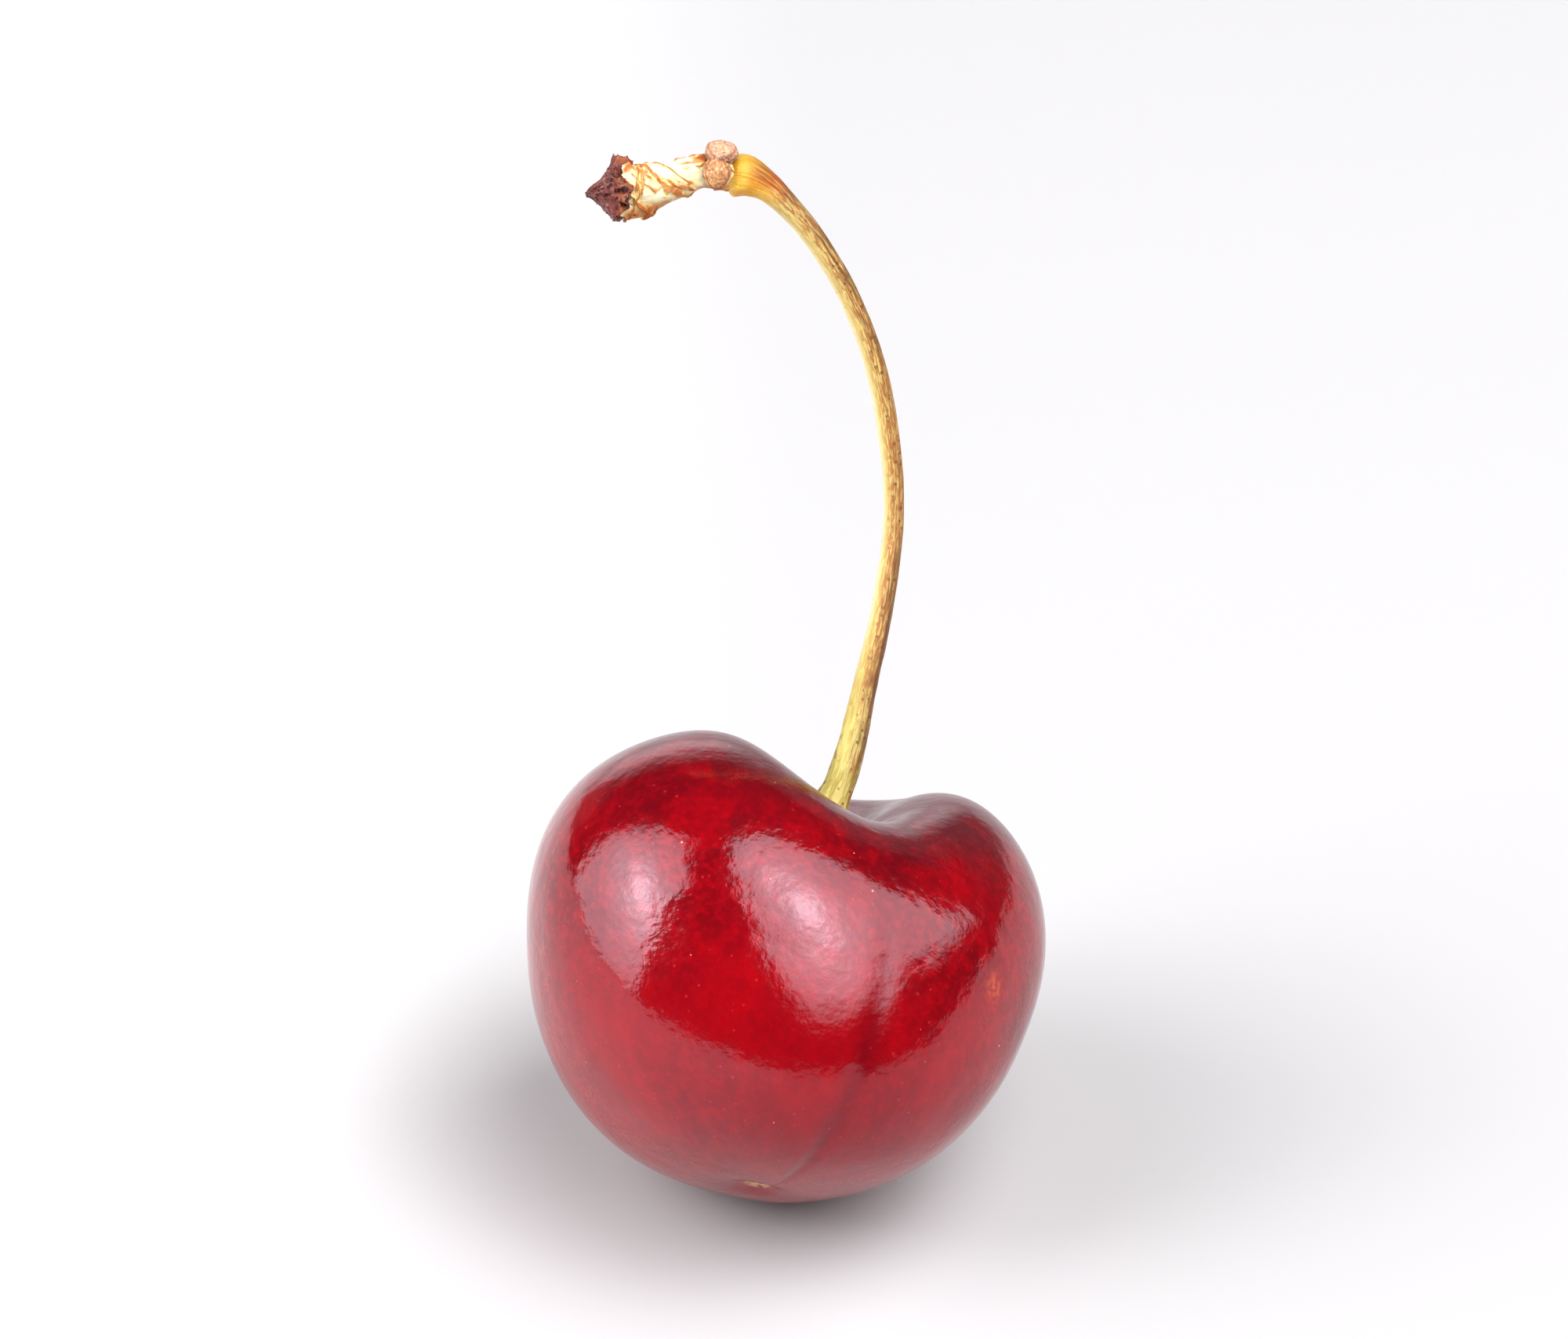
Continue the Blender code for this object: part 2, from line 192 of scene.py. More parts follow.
def colour(name, description, value):
    return FloatVectorProperty(
        name=name, description=description, default=value, size=3, min=0, max=1, subtype="COLOR"
    )


class CherryFruitSizes(bpy.types.PropertyGroup):
    """The fruit: how far its skin lies from its centre, and what is pressed into it."""

    suture_radius: length("Suture side", "Centre to skin at the suture", 12.2)
    back_radius: length("Back", "Centre to skin opposite the suture", 14.3)
    left_radius: length("Left cheek", "Centre to skin at the left cheek", 14.2)
    right_radius: length("Right cheek", "Centre to skin at the right cheek", 12.75)
    crown_height: length("Crown", "Centre to the crown, before the cavity is pressed in", 14.5)
    base_height: length("Base", "Centre to the flower's end", 10.45)
    crown_power: number("Crown fullness", "How square the crown's half is", 2.2)
    base_power: number("Base fullness", "How square the base's half is", 2.5)
    left_waist: number("Left taper", "How the left cheek narrows downwards", 0.285)
    right_waist: number("Right taper", "How the right cheek narrows downwards", 0.255)
    left_shoulder: length("Left shoulder", "Height added to the left shoulder", -0.23, -5)
    right_shoulder: length("Right shoulder", "Height added to the right shoulder", 0.33, -5)
    shoulder_angle: number("Shoulder place", "Angle of the shoulders from the axis", 0.62)
    shoulder_width: number("Shoulder width", "Width of the shoulders, as an angle", 0.30)
    cavity_floor: length("Cavity floor", "Centre to the floor of the stalk's cavity", 9.0)
    cavity_width: number("Cavity width", "Width of the cavity, as an angle", 0.34)
    cavity_power: number("Cavity wall", "How steep the cavity's wall is", 2.6)
    valley_depth: length("Valley", "Depth of the valley from the cavity to the suture", 4.6)
    valley_start: number("Valley start", "Angle where the valley leaves the cavity", 0.32)
    valley_end: number("Valley end", "Angle where the valley has run out", 0.86)
    suture_sway: number("Suture sway", "How far the suture bends sideways", 0.03)
    suture_drift: number("Suture drift", "How much further it bends towards the base", -0.08)
    suture_flat: length("Suture flat", "Depth of the flat along the suture", 0.06)
    suture_flat_width: number("Flat width", "Width of that flat, as an angle", 0.26)
    suture_line: length("Suture line", "Depth of the fine line of the suture", 0.2)
    suture_line_crown: number("Line at crown", "Share of that depth near the crown", 0.07)
    suture_line_width: number("Line width", "Width of that line, as an angle", 0.06)
    scar_depth: length("Scar depth", "Depth of the flower's scar", 0.45)
    scar_width: number("Scar width", "Width of the flower's scar, as an angle", 0.15)
    wave_height: length("Waves", "Height of the skin's slow waves", 0.09)
    meridians: faces("Meridians", "Faces round", 320)
    parallels: faces("Parallels", "Faces down", 230)


class CherryStalkSizes(bpy.types.PropertyGroup):
    """The stalk: its rings and the relief of its rind."""

    rings: faces("Rings", "Faces along the stalk", 520)
    sides: faces("Sides", "Faces round the stalk", 48)
    ridge: number("Ridges", "Height of the lengthwise ridges, by radius", 0.07)
    bump: number("Bumps", "Height of the low bumps, by radius", 0.06)
    lip: number("Lip", "How far the knuckle's lip reaches along, in millimetres", 0.12)


class CherrySpurSizes(bpy.types.PropertyGroup):
    """The peeled spur: its diagonal ridges and its thin torn edges."""

    rings: faces("Rings", "Faces along the spur", 200)
    sides: faces("Sides", "Faces round the spur", 120)
    ridge: number("Ridges", "Height of the diagonal ridges, by radius", 0.10)
    twist: number("Twist", "Turn of the ridges for each millimetre", -2.6)
    rough: number("Roughness", "Height of the fine unevenness, by radius", 0.08)
    tear: number("Tears", "Height of the thin torn edges, by radius", 0.13)
    wind: number("Winding", "Turn of the torn lines for each millimetre", -0.9)


class CherryScaleSizes(bpy.types.PropertyGroup):
    """The two bud scales that sit round the spur."""

    rim: number("Rim", "How thick the scales are at the rim, by their thickness", 0.3, 0.05)
    half_length: length("Half length", "Half the scales' length along the spur", 0.76)
    half_turn: number("Half width", "Half the scales' width, as a turn", 0.66)
    taper: number("Taper", "How much narrower the scales get towards the knuckle", 0.08)
    wrinkle: length("Wrinkles", "Height of the wrinkles", 0.085)
    uneven: number("Uneven edge", "How much the outline wanders, by its reach", 0.16)
    rings: faces("Rings", "Faces across", 90)
    sides: faces("Sides", "Faces round", 90)


class CherryTipSizes(bpy.types.PropertyGroup):
    """The dry, crumpled end of the spur."""

    rings: faces("Rings", "Faces along the tip", 150)
    sides: faces("Sides", "Faces round the tip", 160)
    crumple: number("Crumple", "Height of the large folds, by radius", 0.12)
    crease: number("Creases", "Depth of the sharp creases, by radius", 0.7)
    jag: number("Jagged skin", "Height of the small jagged bits, by radius", 0.9)
    ragged: number("Ragged rim", "How far the rim's edge wanders, in millimetres", 3.0)


class CherryColours(bpy.types.PropertyGroup):
    """Colours of the fruit and the woody parts."""

    crimson: colour("Crimson", "The skin's main colour", (0.14, 0.0006, 0.0028))
    scarlet: colour("Scarlet", "Where the skin is lightest", (0.33, 0.0008, 0.0042))
    maroon: colour("Maroon", "Where the skin is darkest", (0.048, 0.0006, 0.004))
    lenticel: colour("Lenticels", "The skin's fine paler dots", (0.42, 0.03, 0.025))
    stalk_green: colour("Stalk, green", "The stalk near the fruit", (0.44, 0.38, 0.05))
    stalk_straw: colour("Stalk, straw", "The stalk's pale rind", (0.70, 0.53, 0.17))
    # Stalk tan and brown also carry painted shade on the stalk's outer side
    stalk_tan: colour("Stalk, tan", "Fibres in the middle of the stalk", (0.42, 0.17, 0.04))
    stalk_gold: colour("Stalk, gold", "The stalk's knuckle", (0.88, 0.44, 0.03))
    stalk_brown: colour("Stalk, brown", "Freckles and streaks on the stalk", (0.11, 0.032, 0.005))
    peeled: colour("Peeled wood", "The spur where its bark is off", (0.92, 0.82, 0.48))
    torn: colour("Torn edges", "Ridges and edges of torn bark", (0.46, 0.115, 0.006))
    scale: colour("Bud scales", "The scales' middles", (0.42, 0.17, 0.05))
    scale_edge: colour("Scale edges", "The scales' dark edges", (0.15, 0.032, 0.008))
    bark: colour("Dry bark", "The dry tip", (0.034, 0.005, 0.005))
    # Painted highlight on the tip's crests, and paler patches
    bark_light: colour("Highlit bark", "Highlit edges of the dry tip", (0.27, 0.085, 0.065))


class CherryStageSettings(bpy.types.PropertyGroup):
    """Floor, lights and camera."""

    floor_tone: number("Floor tone", "How pale the floor is", 0.47, 0, 1)
    box_light: number("Softbox light", "Brightness of the softboxes", 3.6, 0, 100)
    box_core: number("Softbox core", "Brightness of the softboxes' middles", 17.0, 0, 100)
    back_light: number("Back light", "Brightness of the strip behind the cherry", 1.8, 0, 100)
    box_distance: length("Softbox distance", "From the cherry to the softboxes", 900, 300)
    room_light: number("Room light", "Brightness of the room round the stage", 0.05, 0, 10)
    focal_length: number("Focal length", "Lens, in millimetres", 170.0, 10, 500)


SETTINGS = {
    "cherry_fruit": CherryFruitSizes,
    "cherry_stalk": CherryStalkSizes,
    "cherry_spur": CherrySpurSizes,
    "cherry_scales": CherryScaleSizes,
    "cherry_tip": CherryTipSizes,
    "cherry_colours": CherryColours,
    "cherry_stage": CherryStageSettings,
}


# Node trees


def feed(value, place):
    """Links a field or socket to this place, or writes a plain value there."""
    if isinstance(value, Field):
        value = value.socket
    if isinstance(value, bpy.types.NodeSocket):
        place.id_data.links.new(value, place)
    else:
        place.default_value = value


class Field:
    """A number in a node tree. Sums on it add the Math nodes, so a rule reads as a formula."""

    def __init__(self, socket):
        self.socket = socket
        self.tree = socket.id_data

    def math(self, operation, *others):
        node = self.tree.nodes.new("ShaderNodeMath")
        node.operation = operation
        for place, value in zip(node.inputs, (self, *others)):
            feed(value, place)
        return Field(node.outputs[0])

    def __rsub__(self, other):
        return self * -1 + other

    def __neg__(self):
        return self * -1

    __add__ = __radd__ = partialmethod(math, "ADD")
    __sub__ = partialmethod(math, "SUBTRACT")
    __mul__ = __rmul__ = partialmethod(math, "MULTIPLY")
    __truediv__ = partialmethod(math, "DIVIDE")
    __pow__ = partialmethod(math, "POWER")
    __gt__ = partialmethod(math, "GREATER_THAN")
    __lt__ = partialmethod(math, "LESS_THAN")
    __abs__ = partialmethod(math, "ABSOLUTE")
    cos = partialmethod(math, "COSINE")
    sin = partialmethod(math, "SINE")
    exp = partialmethod(math, "EXPONENT")
    least = partialmethod(math, "MINIMUM")
    most = partialmethod(math, "MAXIMUM")

    def rise(self, low, high):
        """0 below low and 1 above high, smoothly; the other way round if low is the larger."""
        feeds = {"Value": self, "From Min": low, "From Max": high}
        smooth = {"interpolation_type": "SMOOTHSTEP"}
        return Field(output(self.tree, "ShaderNodeMapRange", feeds, **smooth))


def add_node(tree, kind, feeds=None, **settings):
    node = tree.nodes.new(kind)
    for key, value in settings.items():
        setattr(node, key, value)
    for place, value in (feeds or {}).items():
        feed(value, node.inputs[place])
    return node


def output(tree, kind, feeds=None, **settings):
    """The first output of a new node."""
    return add_node(tree, kind, feeds, **settings).outputs[0]


def bell(distance, width, power=2):
    """1 in the middle, falling smoothly to 0 past this width."""
    return (-(abs(distance / width) ** power)).exp()


def pick(test, yes, no):
    return no + test * (yes - no)


def combine(x, y, z):
    return output(x.tree, "ShaderNodeCombineXYZ", {"X": x, "Y": y, "Z": z})


def separate(vector):
    node = add_node(vector.id_data, "ShaderNodeSeparateXYZ", {"Vector": vector})
    return [Field(socket) for socket in node.outputs]


def vector_math(operation, vector, other):
    """The other is a second vector, or the factor to scale by."""
    feeds = {"Vector": vector, "Scale" if operation == "SCALE" else 1: other}
    return output(vector.id_data, "ShaderNodeVectorMath", feeds, operation=operation)


def noise(place, size, detail=2.0, roughness=0.5):
    """Cloudy noise from 0 to 1 with features about this size."""
    feeds = {"Vector": place, "Scale": 1 / size, "Detail": detail, "Roughness": roughness}
    return Field(output(place.id_data, "ShaderNodeTexNoise", feeds))


def cloud(x, y, z, detail=2.0, roughness=0.5):
    """Cloudy noise at this place, with features of size 1."""
    return noise(combine(x, y, z), 1, detail, roughness)


def apart(place, other):
    """The distance between two places."""
    feeds = {0: place, 1: other}
    node = add_node(place.id_data, "ShaderNodeVectorMath", feeds, operation="DISTANCE")
    return Field(node.outputs["Value"])


# Geometry Nodes


def new_tree(name, settings, vectors=()):
    """A geometry tree with a named input for each setting, and those inputs as fields."""
    tree = bpy.data.node_groups.new(name, "GeometryNodeTree")
    for way in ("INPUT", "OUTPUT"):
        tree.interface.new_socket("Geometry", in_out=way, socket_type="NodeSocketGeometry")
    kinds = {key: "NodeSocketVector" for key in vectors}
    for rule in settings.bl_rna.properties:
        if rule.type in ("FLOAT", "INT"):
            kinds[rule.identifier] = "NodeSocket" + rule.type.capitalize()
    for key, kind in kinds.items():
        tree.interface.new_socket(key, in_out="INPUT", socket_type=kind)
    start = tree.nodes.new("NodeGroupInput")
    size = {key: Field(start.outputs[key]) for key in kinds}
    return tree, SimpleNamespace(**size), start.outputs["Geometry"]


def end_tree(geometry, material):
    """Realize Instances, Set Material and the output."""
    tree = geometry.id_data
    real = output(tree, "GeometryNodeRealizeInstances", {"Geometry": geometry})
    done = output(tree, "GeometryNodeSetMaterial", {"Geometry": real, "Material": material})
    add_node(tree, "NodeGroupOutput", {"Geometry": done})


def unit_grid(columns, rows):
    """A grid of this many faces, with its two places from 0 to 1 as fields."""
    feeds = {"Size X": 1, "Size Y": 1, "Vertices X": columns + 1, "Vertices Y": rows + 1}
    grid = add_node(columns.tree, "GeometryNodeMeshGrid", feeds)
    x, y, _ = separate(output(columns.tree, "GeometryNodeInputPosition"))
    return grid.outputs["Mesh"], x + 0.5, y + 0.5


def keep_vector(geometry, name, vector):
    """Stores a vector on the points, for the material to read."""
    feeds = {"Geometry": geometry, "Name": name, "Value": vector}
    kinds = {"data_type": "FLOAT_VECTOR", "domain": "POINT"}
    return output(geometry.id_data, "GeometryNodeStoreNamedAttribute", feeds, **kinds)


def put_points(geometry, position):
    feeds = {"Geometry": geometry, "Position": position}
    return output(geometry.id_data, "GeometryNodeSetPosition", feeds)


def grow(name, mesh, tree, settings, vectors=None):
    """Runs the tree on the mesh and keeps the result as a plain, closed mesh facing out."""
    item = bpy.data.objects.new(name, mesh)
    bpy.context.scene.collection.objects.link(item)
    modifier = item.modifiers.new(name, "NODES")
    modifier.node_group = tree
    for socket in tree.interface.items_tree:
        if socket.in_out == "INPUT" and socket.socket_type != "NodeSocketGeometry":
            if socket.name in (vectors or {}):
                modifier[socket.identifier] = vectors[socket.name]
            else:
                modifier[socket.identifier] = getattr(settings, socket.name)
    bpy.context.view_layer.update()
    graph = bpy.context.evaluated_depsgraph_get()
    made = bpy.data.meshes.new_from_object(item.evaluated_get(graph))
    item.modifiers.clear()
    item.data = made
    made.name = name
    close_and_face_out(made)
    if len(made.polygons) < 10:
        raise RuntimeError(name + " came out empty")
    return item


def close_and_face_out(mesh):
    bm = bmesh.new()
    bm.from_mesh(mesh)
    bmesh.ops.remove_doubles(bm, verts=bm.verts[:], dist=0.0005 * MM)
    bmesh.ops.recalc_face_normals(bm, faces=bm.faces[:])
    for face in bm.faces:
        face.smooth = True
    bm.to_mesh(mesh)
    bm.free()


def stand_for(item, node):
    """The piece takes the CAD node's place."""
    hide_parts(node)
    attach(item, "root")


# Routes


def smooth_between(along, values, wanted):
    """Values at the wanted distances, on smooth curves through the given ones."""
    slopes = np.gradient(values, along, axis=0)
    span = np.clip(np.searchsorted(along, wanted) - 1, 0, len(along) - 2)
    reach = (along[span + 1] - along[span])[:, None]
    t = np.clip((wanted - along[span])[:, None] / reach, 0, 1)
    curve = (2 * t**3 - 3 * t**2 + 1) * values[span] + (3 * t**2 - 2 * t**3) * values[span + 1]
    curve += reach * (t**3 - 2 * t**2 + t) * slopes[span]
    return curve + reach * (t**3 - t**2) * slopes[span + 1]


def travel(path):
    """Distance along the path at each of its points."""
    return np.r_[0, np.cumsum(np.linalg.norm(np.diff(path, axis=0), axis=1))]


def smooth_route(points, count):
    """Points at even distances along a smooth curve through these, in metres."""
    given = np.array(points) * MM
    along = travel(given)
    curve = smooth_between(along, given, np.linspace(0, along[-1], 40 * len(given)))
    travelled = travel(curve)
    wanted = np.linspace(0, travelled[-1], count)
    return np.stack([np.interp(wanted, travelled, curve[:, k]) for k in range(3)], 1), wanted


def fronts_along(path):
    """The front direction at each point, turning as little as it can."""
    tangents = np.gradient(path, axis=0)
    tangents /= np.linalg.norm(tangents, axis=1)[:, None]
    facing = np.array([0.0, -1.0, 0.0])
    fronts = []
    for tangent in tangents:
        facing = facing - tangent * facing.dot(tangent)
        facing /= np.linalg.norm(facing)
        fronts.append(facing)
    return fronts


def route_mesh(name, points, profile, count=240):
    """The route as a line of points, laid back with the fruit, with its radii and fronts."""
    path, travelled = smooth_route(points, count)
    keep = travelled >= profile[0][0] * MM
    path, travelled = path[keep], travelled[keep]
    fronts = [LAID_BACK.to_3x3() @ Vector(front) for front in fronts_along(path)]
    places = [FRUIT_CENTRE + LAID_BACK.to_3x3() @ Vector(place) for place in path]
    mesh = bpy.data.meshes.new(name)
    mesh.from_pydata(places, [(k, k + 1) for k in range(len(places) - 1)], [])
    along, radii = np.array(profile).T * MM
    radius = mesh.attributes.new("thickness", "FLOAT", "POINT")
    radius.data.foreach_set("value", smooth_between(along, radii[:, None], travelled).ravel())
    front = mesh.attributes.new("front", "FLOAT_VECTOR", "POINT")
    front.data.foreach_set("vector", np.array(fronts).ravel())
    return mesh


def route_length(route):
    line = output(route.id_data, "GeometryNodeMeshToCurve", {"Mesh": route})
    return Field(output(route.id_data, "GeometryNodeCurveLength", {"Curve": line}))


def follow(route, factor):
    """Place, tangent, front, rising direction, radius and distance at this share of the route."""
    tree = route.id_data
    line = output(tree, "GeometryNodeMeshToCurve", {"Mesh": route})

    def sampled(name, kind):
        named = output(tree, "GeometryNodeInputNamedAttribute", {"Name": name}, data_type=kind)
        feeds = {"Curves": line, "Value": named, "Factor": factor}
        return add_node(tree, "GeometryNodeSampleCurve", feeds, data_type=kind, mode="FACTOR")

    thick = sampled("thickness", "FLOAT")
    front = sampled("front", "FLOAT_VECTOR").outputs["Value"]
    tangent = thick.outputs["Tangent"]
    reach = route_length(route)
    return SimpleNamespace(
        place=thick.outputs["Position"],
        tangent=tangent,
        front=front,
        rising=vector_math("CROSS_PRODUCT", tangent, front),
        radius=Field(thick.outputs["Value"]),
        distance=reach * factor / MM,
        left=reach * (1 - factor) / MM,
    )


def round_the_route(way, turn, reach):
    """The point at this turn from the front and this reach from the route."""
    facing = vector_math("SCALE", way.front, turn.cos() * reach)
    rising = vector_math("SCALE", way.rising, turn.sin() * reach)
    return vector_math("ADD", way.place, vector_math("ADD", facing, rising))


def swept_tree(name, settings, material, relief, cap):
    """A closed tube round a route, rounded off over the cap's share of its length.

    Relief is a function of the way, the sizes and the place, which is the turn's cosine and sine
    and the millimetres along. It gives a factor for the radius, and how many millimetres the
    point slides along the route.
    """
    tree, size, route = new_tree(name, settings)
    mesh, u, v = unit_grid(size.rings, size.sides)
    share = ((u - cap) / (1 - 2 * cap)).most(0).least(1)
    closing = (u.least(1 - u) / cap).least(1)
    turn = v * (2 * math.pi)
    way = follow(route, share)
    place = combine(turn.cos(), turn.sin(), way.distance)
    factor, slide = relief(way, size, place)
    rounded = (closing * (2 - closing)) ** 0.5
    point = round_the_route(way, turn, way.radius * factor * rounded)
    slid = vector_math("SCALE", way.tangent, slide * closing * MM)
    point = vector_math("ADD", point, slid)
    kept = keep_vector(mesh, "stem_place", place)
    end_tree(put_points(kept, point), material)
    return tree


# Fruit


def skin_distance(theta, phi, size):
    """How far the skin lies from the fruit's centre.

    theta is the angle from the stalk's end of the axis, and phi the turn from the suture, which
    grows towards the right cheek.
    """
    to_suture, to_right, upward = phi.cos(), phi.sin(), theta.cos()
    cheek = to_right**2
    right, crown = to_right > 0, upward > 0
    side = pick(right, size.right_radius, size.left_radius)
    end = pick(to_suture > 0, size.suture_radius, size.back_radius)
    girth = ((to_right / side) ** 2 + (to_suture / end) ** 2) ** -0.5
    girth = girth * (1 + pick(right, size.right_waist, size.left_waist) * cheek * upward)
    height = pick(crown, size.crown_height, size.base_height)
    power = size.base_power + (size.crown_power - size.base_power) * (1 + upward) / 2
    body = ((theta.sin() / girth) ** power + abs(upward / height) ** power) ** (-1 * power**-1)
    shoulder = pick(right, size.right_shoulder, size.left_shoulder) * cheek
    body = body + shoulder * bell(theta - size.shoulder_angle, size.shoulder_width)
    pressed = size.crown_height - size.cavity_floor
    body = body - pressed * bell(theta, size.cavity_width, size.cavity_power)
    valley = (1 - bell(theta, size.valley_start, 4)) * bell(theta, size.valley_end)
    body = body - size.valley_depth * to_suture.most(0) ** 2 * valley
    return body - skin_relief(theta, phi, size)


def skin_relief(theta, phi, size):
    """Depth of the suture, the flower's scar and the slow waves."""
    sideways = theta.sin()
    lower = (1 - theta.cos()) / 2
    from_line = phi - (size.suture_sway + size.suture_drift * lower) * sideways
    line = size.suture_line_crown + (1 - size.suture_line_crown) * lower**3
    suture = size.suture_flat * bell(from_line, size.suture_flat_width)
    suture = suture + size.suture_line * line * bell(from_line, size.suture_line_width)
    scar = size.scar_depth * bell(math.pi - theta, size.scar_width)
    waves = (phi * 3 + 0.8).sin() * (theta * 2 + 0.5).sin() + (phi * 5 - 1.1).sin() * 0.6
    return suture * sideways + scar + size.wave_height * waves * sideways**2


def fruit_tree(settings, material):
    """The whole skin as one polar surface, leaned, set in place and flat where it rests."""
    tree, size, _ = new_tree("cherry fruit", settings, ("centre", "lean"))
    mesh, u, v = unit_grid(size.meridians, size.parallels)
    theta = v * math.pi
    even = (u - 0.5) * (2 * math.pi)
    phi = even - even.sin() * CLOSER_AT_SUTURE
    direction = combine(theta.sin() * phi.sin(), -(theta.sin() * phi.cos()), theta.cos())
    distance = skin_distance(theta, phi, size)
    kept = keep_vector(mesh, "skin_direction", direction)
    skin = put_points(kept, vector_math("SCALE", direction, distance))
    feeds = {"Geometry": skin, "Translation": size.centre, "Rotation": size.lean}
    placed = output(tree, "GeometryNodeTransform", feeds)
    x, y, z = separate(output(tree, "GeometryNodeInputPosition"))
    end_tree(put_points(placed, combine(x, y, z.most(0))), material)
    return tree


class CHERRY_OT_fruit(bpy.types.Operator):
    """Grow the fruit's skin by its rule and put it in the fruit's place"""

    bl_idname = "cherry.fruit"
    bl_label = "Fruit"

    def execute(self, context):
        settings = context.scene.cherry_fruit
        tree = fruit_tree(settings, skin_material(context.scene.cherry_colours))
        lean = (LAID_BACK @ FRUIT_LEAN).to_euler()
        vectors = {"centre": list(FRUIT_CENTRE), "lean": list(lean)}
        item = grow("cherry_skin", bpy.data.meshes.new("seed"), tree, settings, vectors)
        stand_for(item, "fruit")
        return {"FINISHED"}


# Stalk, spur, scales and tip


def stalk_relief(way, size, place):
    """Low lengthwise ridges that wander a little, soft bumps, and a lip under the knuckle."""
    x, y, z = separate(place)
    ridged = cloud(x * 2.6, y * 2.6, z * 0.12, 3)
    bumpy = cloud(x * 0.5, y * 0.5, z * 0.55)
    factor = 1 + size.ridge * (ridged - 0.5) * 2 + size.bump * (bumpy - 0.5) * 2
    lip = way.left.rise(1.3, 0.2) * (0.25 * x - y).rise(-0.2, 1.0)
    return factor + lip * 0.1, lip * size.lip


def torn_lines(place, wind, wide=1.0):
    """Thin lines of torn bark that wind along the spur, one of them the main one; a mask."""
    x, y, z = separate(place)
    turn = z * wind
    wound_x = x * turn.cos() - y * turn.sin()
    wound_y = x * turn.sin() + y * turn.cos()
    wound = cloud(wound_x * 0.7, wound_y * 0.7, z * 0.4, 2.5)
    broken = cloud(x * 1.2, y * 1.2, z, 1).rise(0.4, 0.5)
    lines = abs(wound - 0.5).rise(0.03 * wide, 0.005) * broken
    wobble = cloud(x, y, z * 1.4, 3) - 0.5
    turn = y.math("ARCTAN2", x)
    main = (turn - z * 1.3 + 5.16 + wobble * 1.6).cos().rise(1 - 0.03 * wide, 0.993)
    ringed = cloud(x * 0.5, y * 0.5, z * 1.5 + turn * 0.4)
    bands = abs(ringed - 0.5).rise(0.045 * wide, 0.01) * z.rise(4.3, 4.8)
    return lines.most(main * z.rise(2.2, 2.6)).most(bands)


def spur_relief(way, size, place):
    """Diagonal ridges of torn bark, with thin torn edges that stand up."""
    x, y, z = separate(place)
    turn = y.math("ARCTAN2", x)
    ridges = (turn * 3 + size.twist * z).cos() * 0.6 + (turn * 5 - z * 1.3 + 1).cos() * 0.4
    rough = cloud(x * 1.6, y * 1.6, z * 1.2, 5, 0.6) - 0.5
    torn = torn_lines(place, size.wind)
    factor = 1 + size.ridge * ridges + size.rough * rough * 2 + size.tear * torn
    return factor, way.left.rise(0.6, 0.1) * rough * 2.2


def tip_relief(way, size, place):
    """Large folds with sharp creases between them, and a ragged rim over the spur."""
    x, y, z = separate(place)
    turn = y.math("ARCTAN2", x)
    folds = (turn * 3 + z * 1.5 + 1.2).cos() + (turn * 5 - z * 2).cos() * 0.7
    flake = bell(turn - 1.9, 0.5) * bell(way.distance - 0.35, 0.4)
    creases = tip_creases(place)
    rim = way.distance.rise(0.75, 0.0)
    ragged = cloud(x * 1.7, y * 1.7, 2.0, 4, 0.6) - 0.56
    jagged = cloud(x * 2.6, y * 2.6, z * 2.4, 3, 0.6) - 0.5
    factor = 1.08 + size.crumple * folds - size.crease * creases + flake * 0.16
    factor = factor + size.jag * jagged
    return factor, rim * ragged * size.ragged


def tip_creases(place):
    """0 on the sharp crests of the crumpled bark, rising into its hollows."""
    x, y, z = separate(place)
    crumpled = cloud(x * 1.1, y * 1.1, z * 1.0 + 3, 4, 0.55)
    return (abs(crumpled - 0.5) * 3).least(0.4)


def scale_tree(settings, material, seating):
    """A rounded pad that follows the spur, with wrinkles on it."""
    turn_there, distance_there, seat, thickness, flatness, share = seating
    tree, size, route = new_tree("bud scale", settings)
    mesh, u, v = unit_grid(size.rings, size.sides)
    spoke = v * (2 * math.pi)
    top = u > 0.5
    reach = pick(top, (u - 0.5) * 2, (0.5 - u) * 2)
    wander = cloud(spoke.cos(), spoke.sin(), turn_there) - 0.5
    grown = reach * (1 + size.uneven * wander * 2)
    across, up = spoke.cos() * grown, spoke.sin() * grown
    distance = across * size.half_length * share + distance_there * MM
    way = follow(route, (distance / route_length(route)).most(0).least(1))
    turn = up * (1 + size.taper * across) * size.half_turn + turn_there
    place = combine(across, up, turn_there)
    wrinkles = noise(place, 0.28, 4, 0.6) - 0.5
    dome = (1 - reach**flatness).most(0) ** 0.5
    rounded = size.rim + (1 - size.rim) * dome + 0.04 * bell(reach - 0.82, 0.1)
    crown = rounded * (thickness * MM) + size.wrinkle * wrinkles * 2
    lift = pick(top, crown, reach * 0) + seat * MM
    kept = keep_vector(mesh, "scale_place", place)
    point = round_the_route(way, turn, lift)
    end_tree(put_points(kept, point), material)
    return tree


def sweep(scene, key, name, node, slot, route, profile, cap, relief, material):
    """Sweeps a piece along its route and lets it take its node's place."""
    settings = getattr(scene, key)
    tree = swept_tree(name, settings, material, relief, cap)
    item = grow(name, route_mesh(name + "_route", route, profile), tree, settings)
    stand_for(item, node)
    return {"FINISHED"}


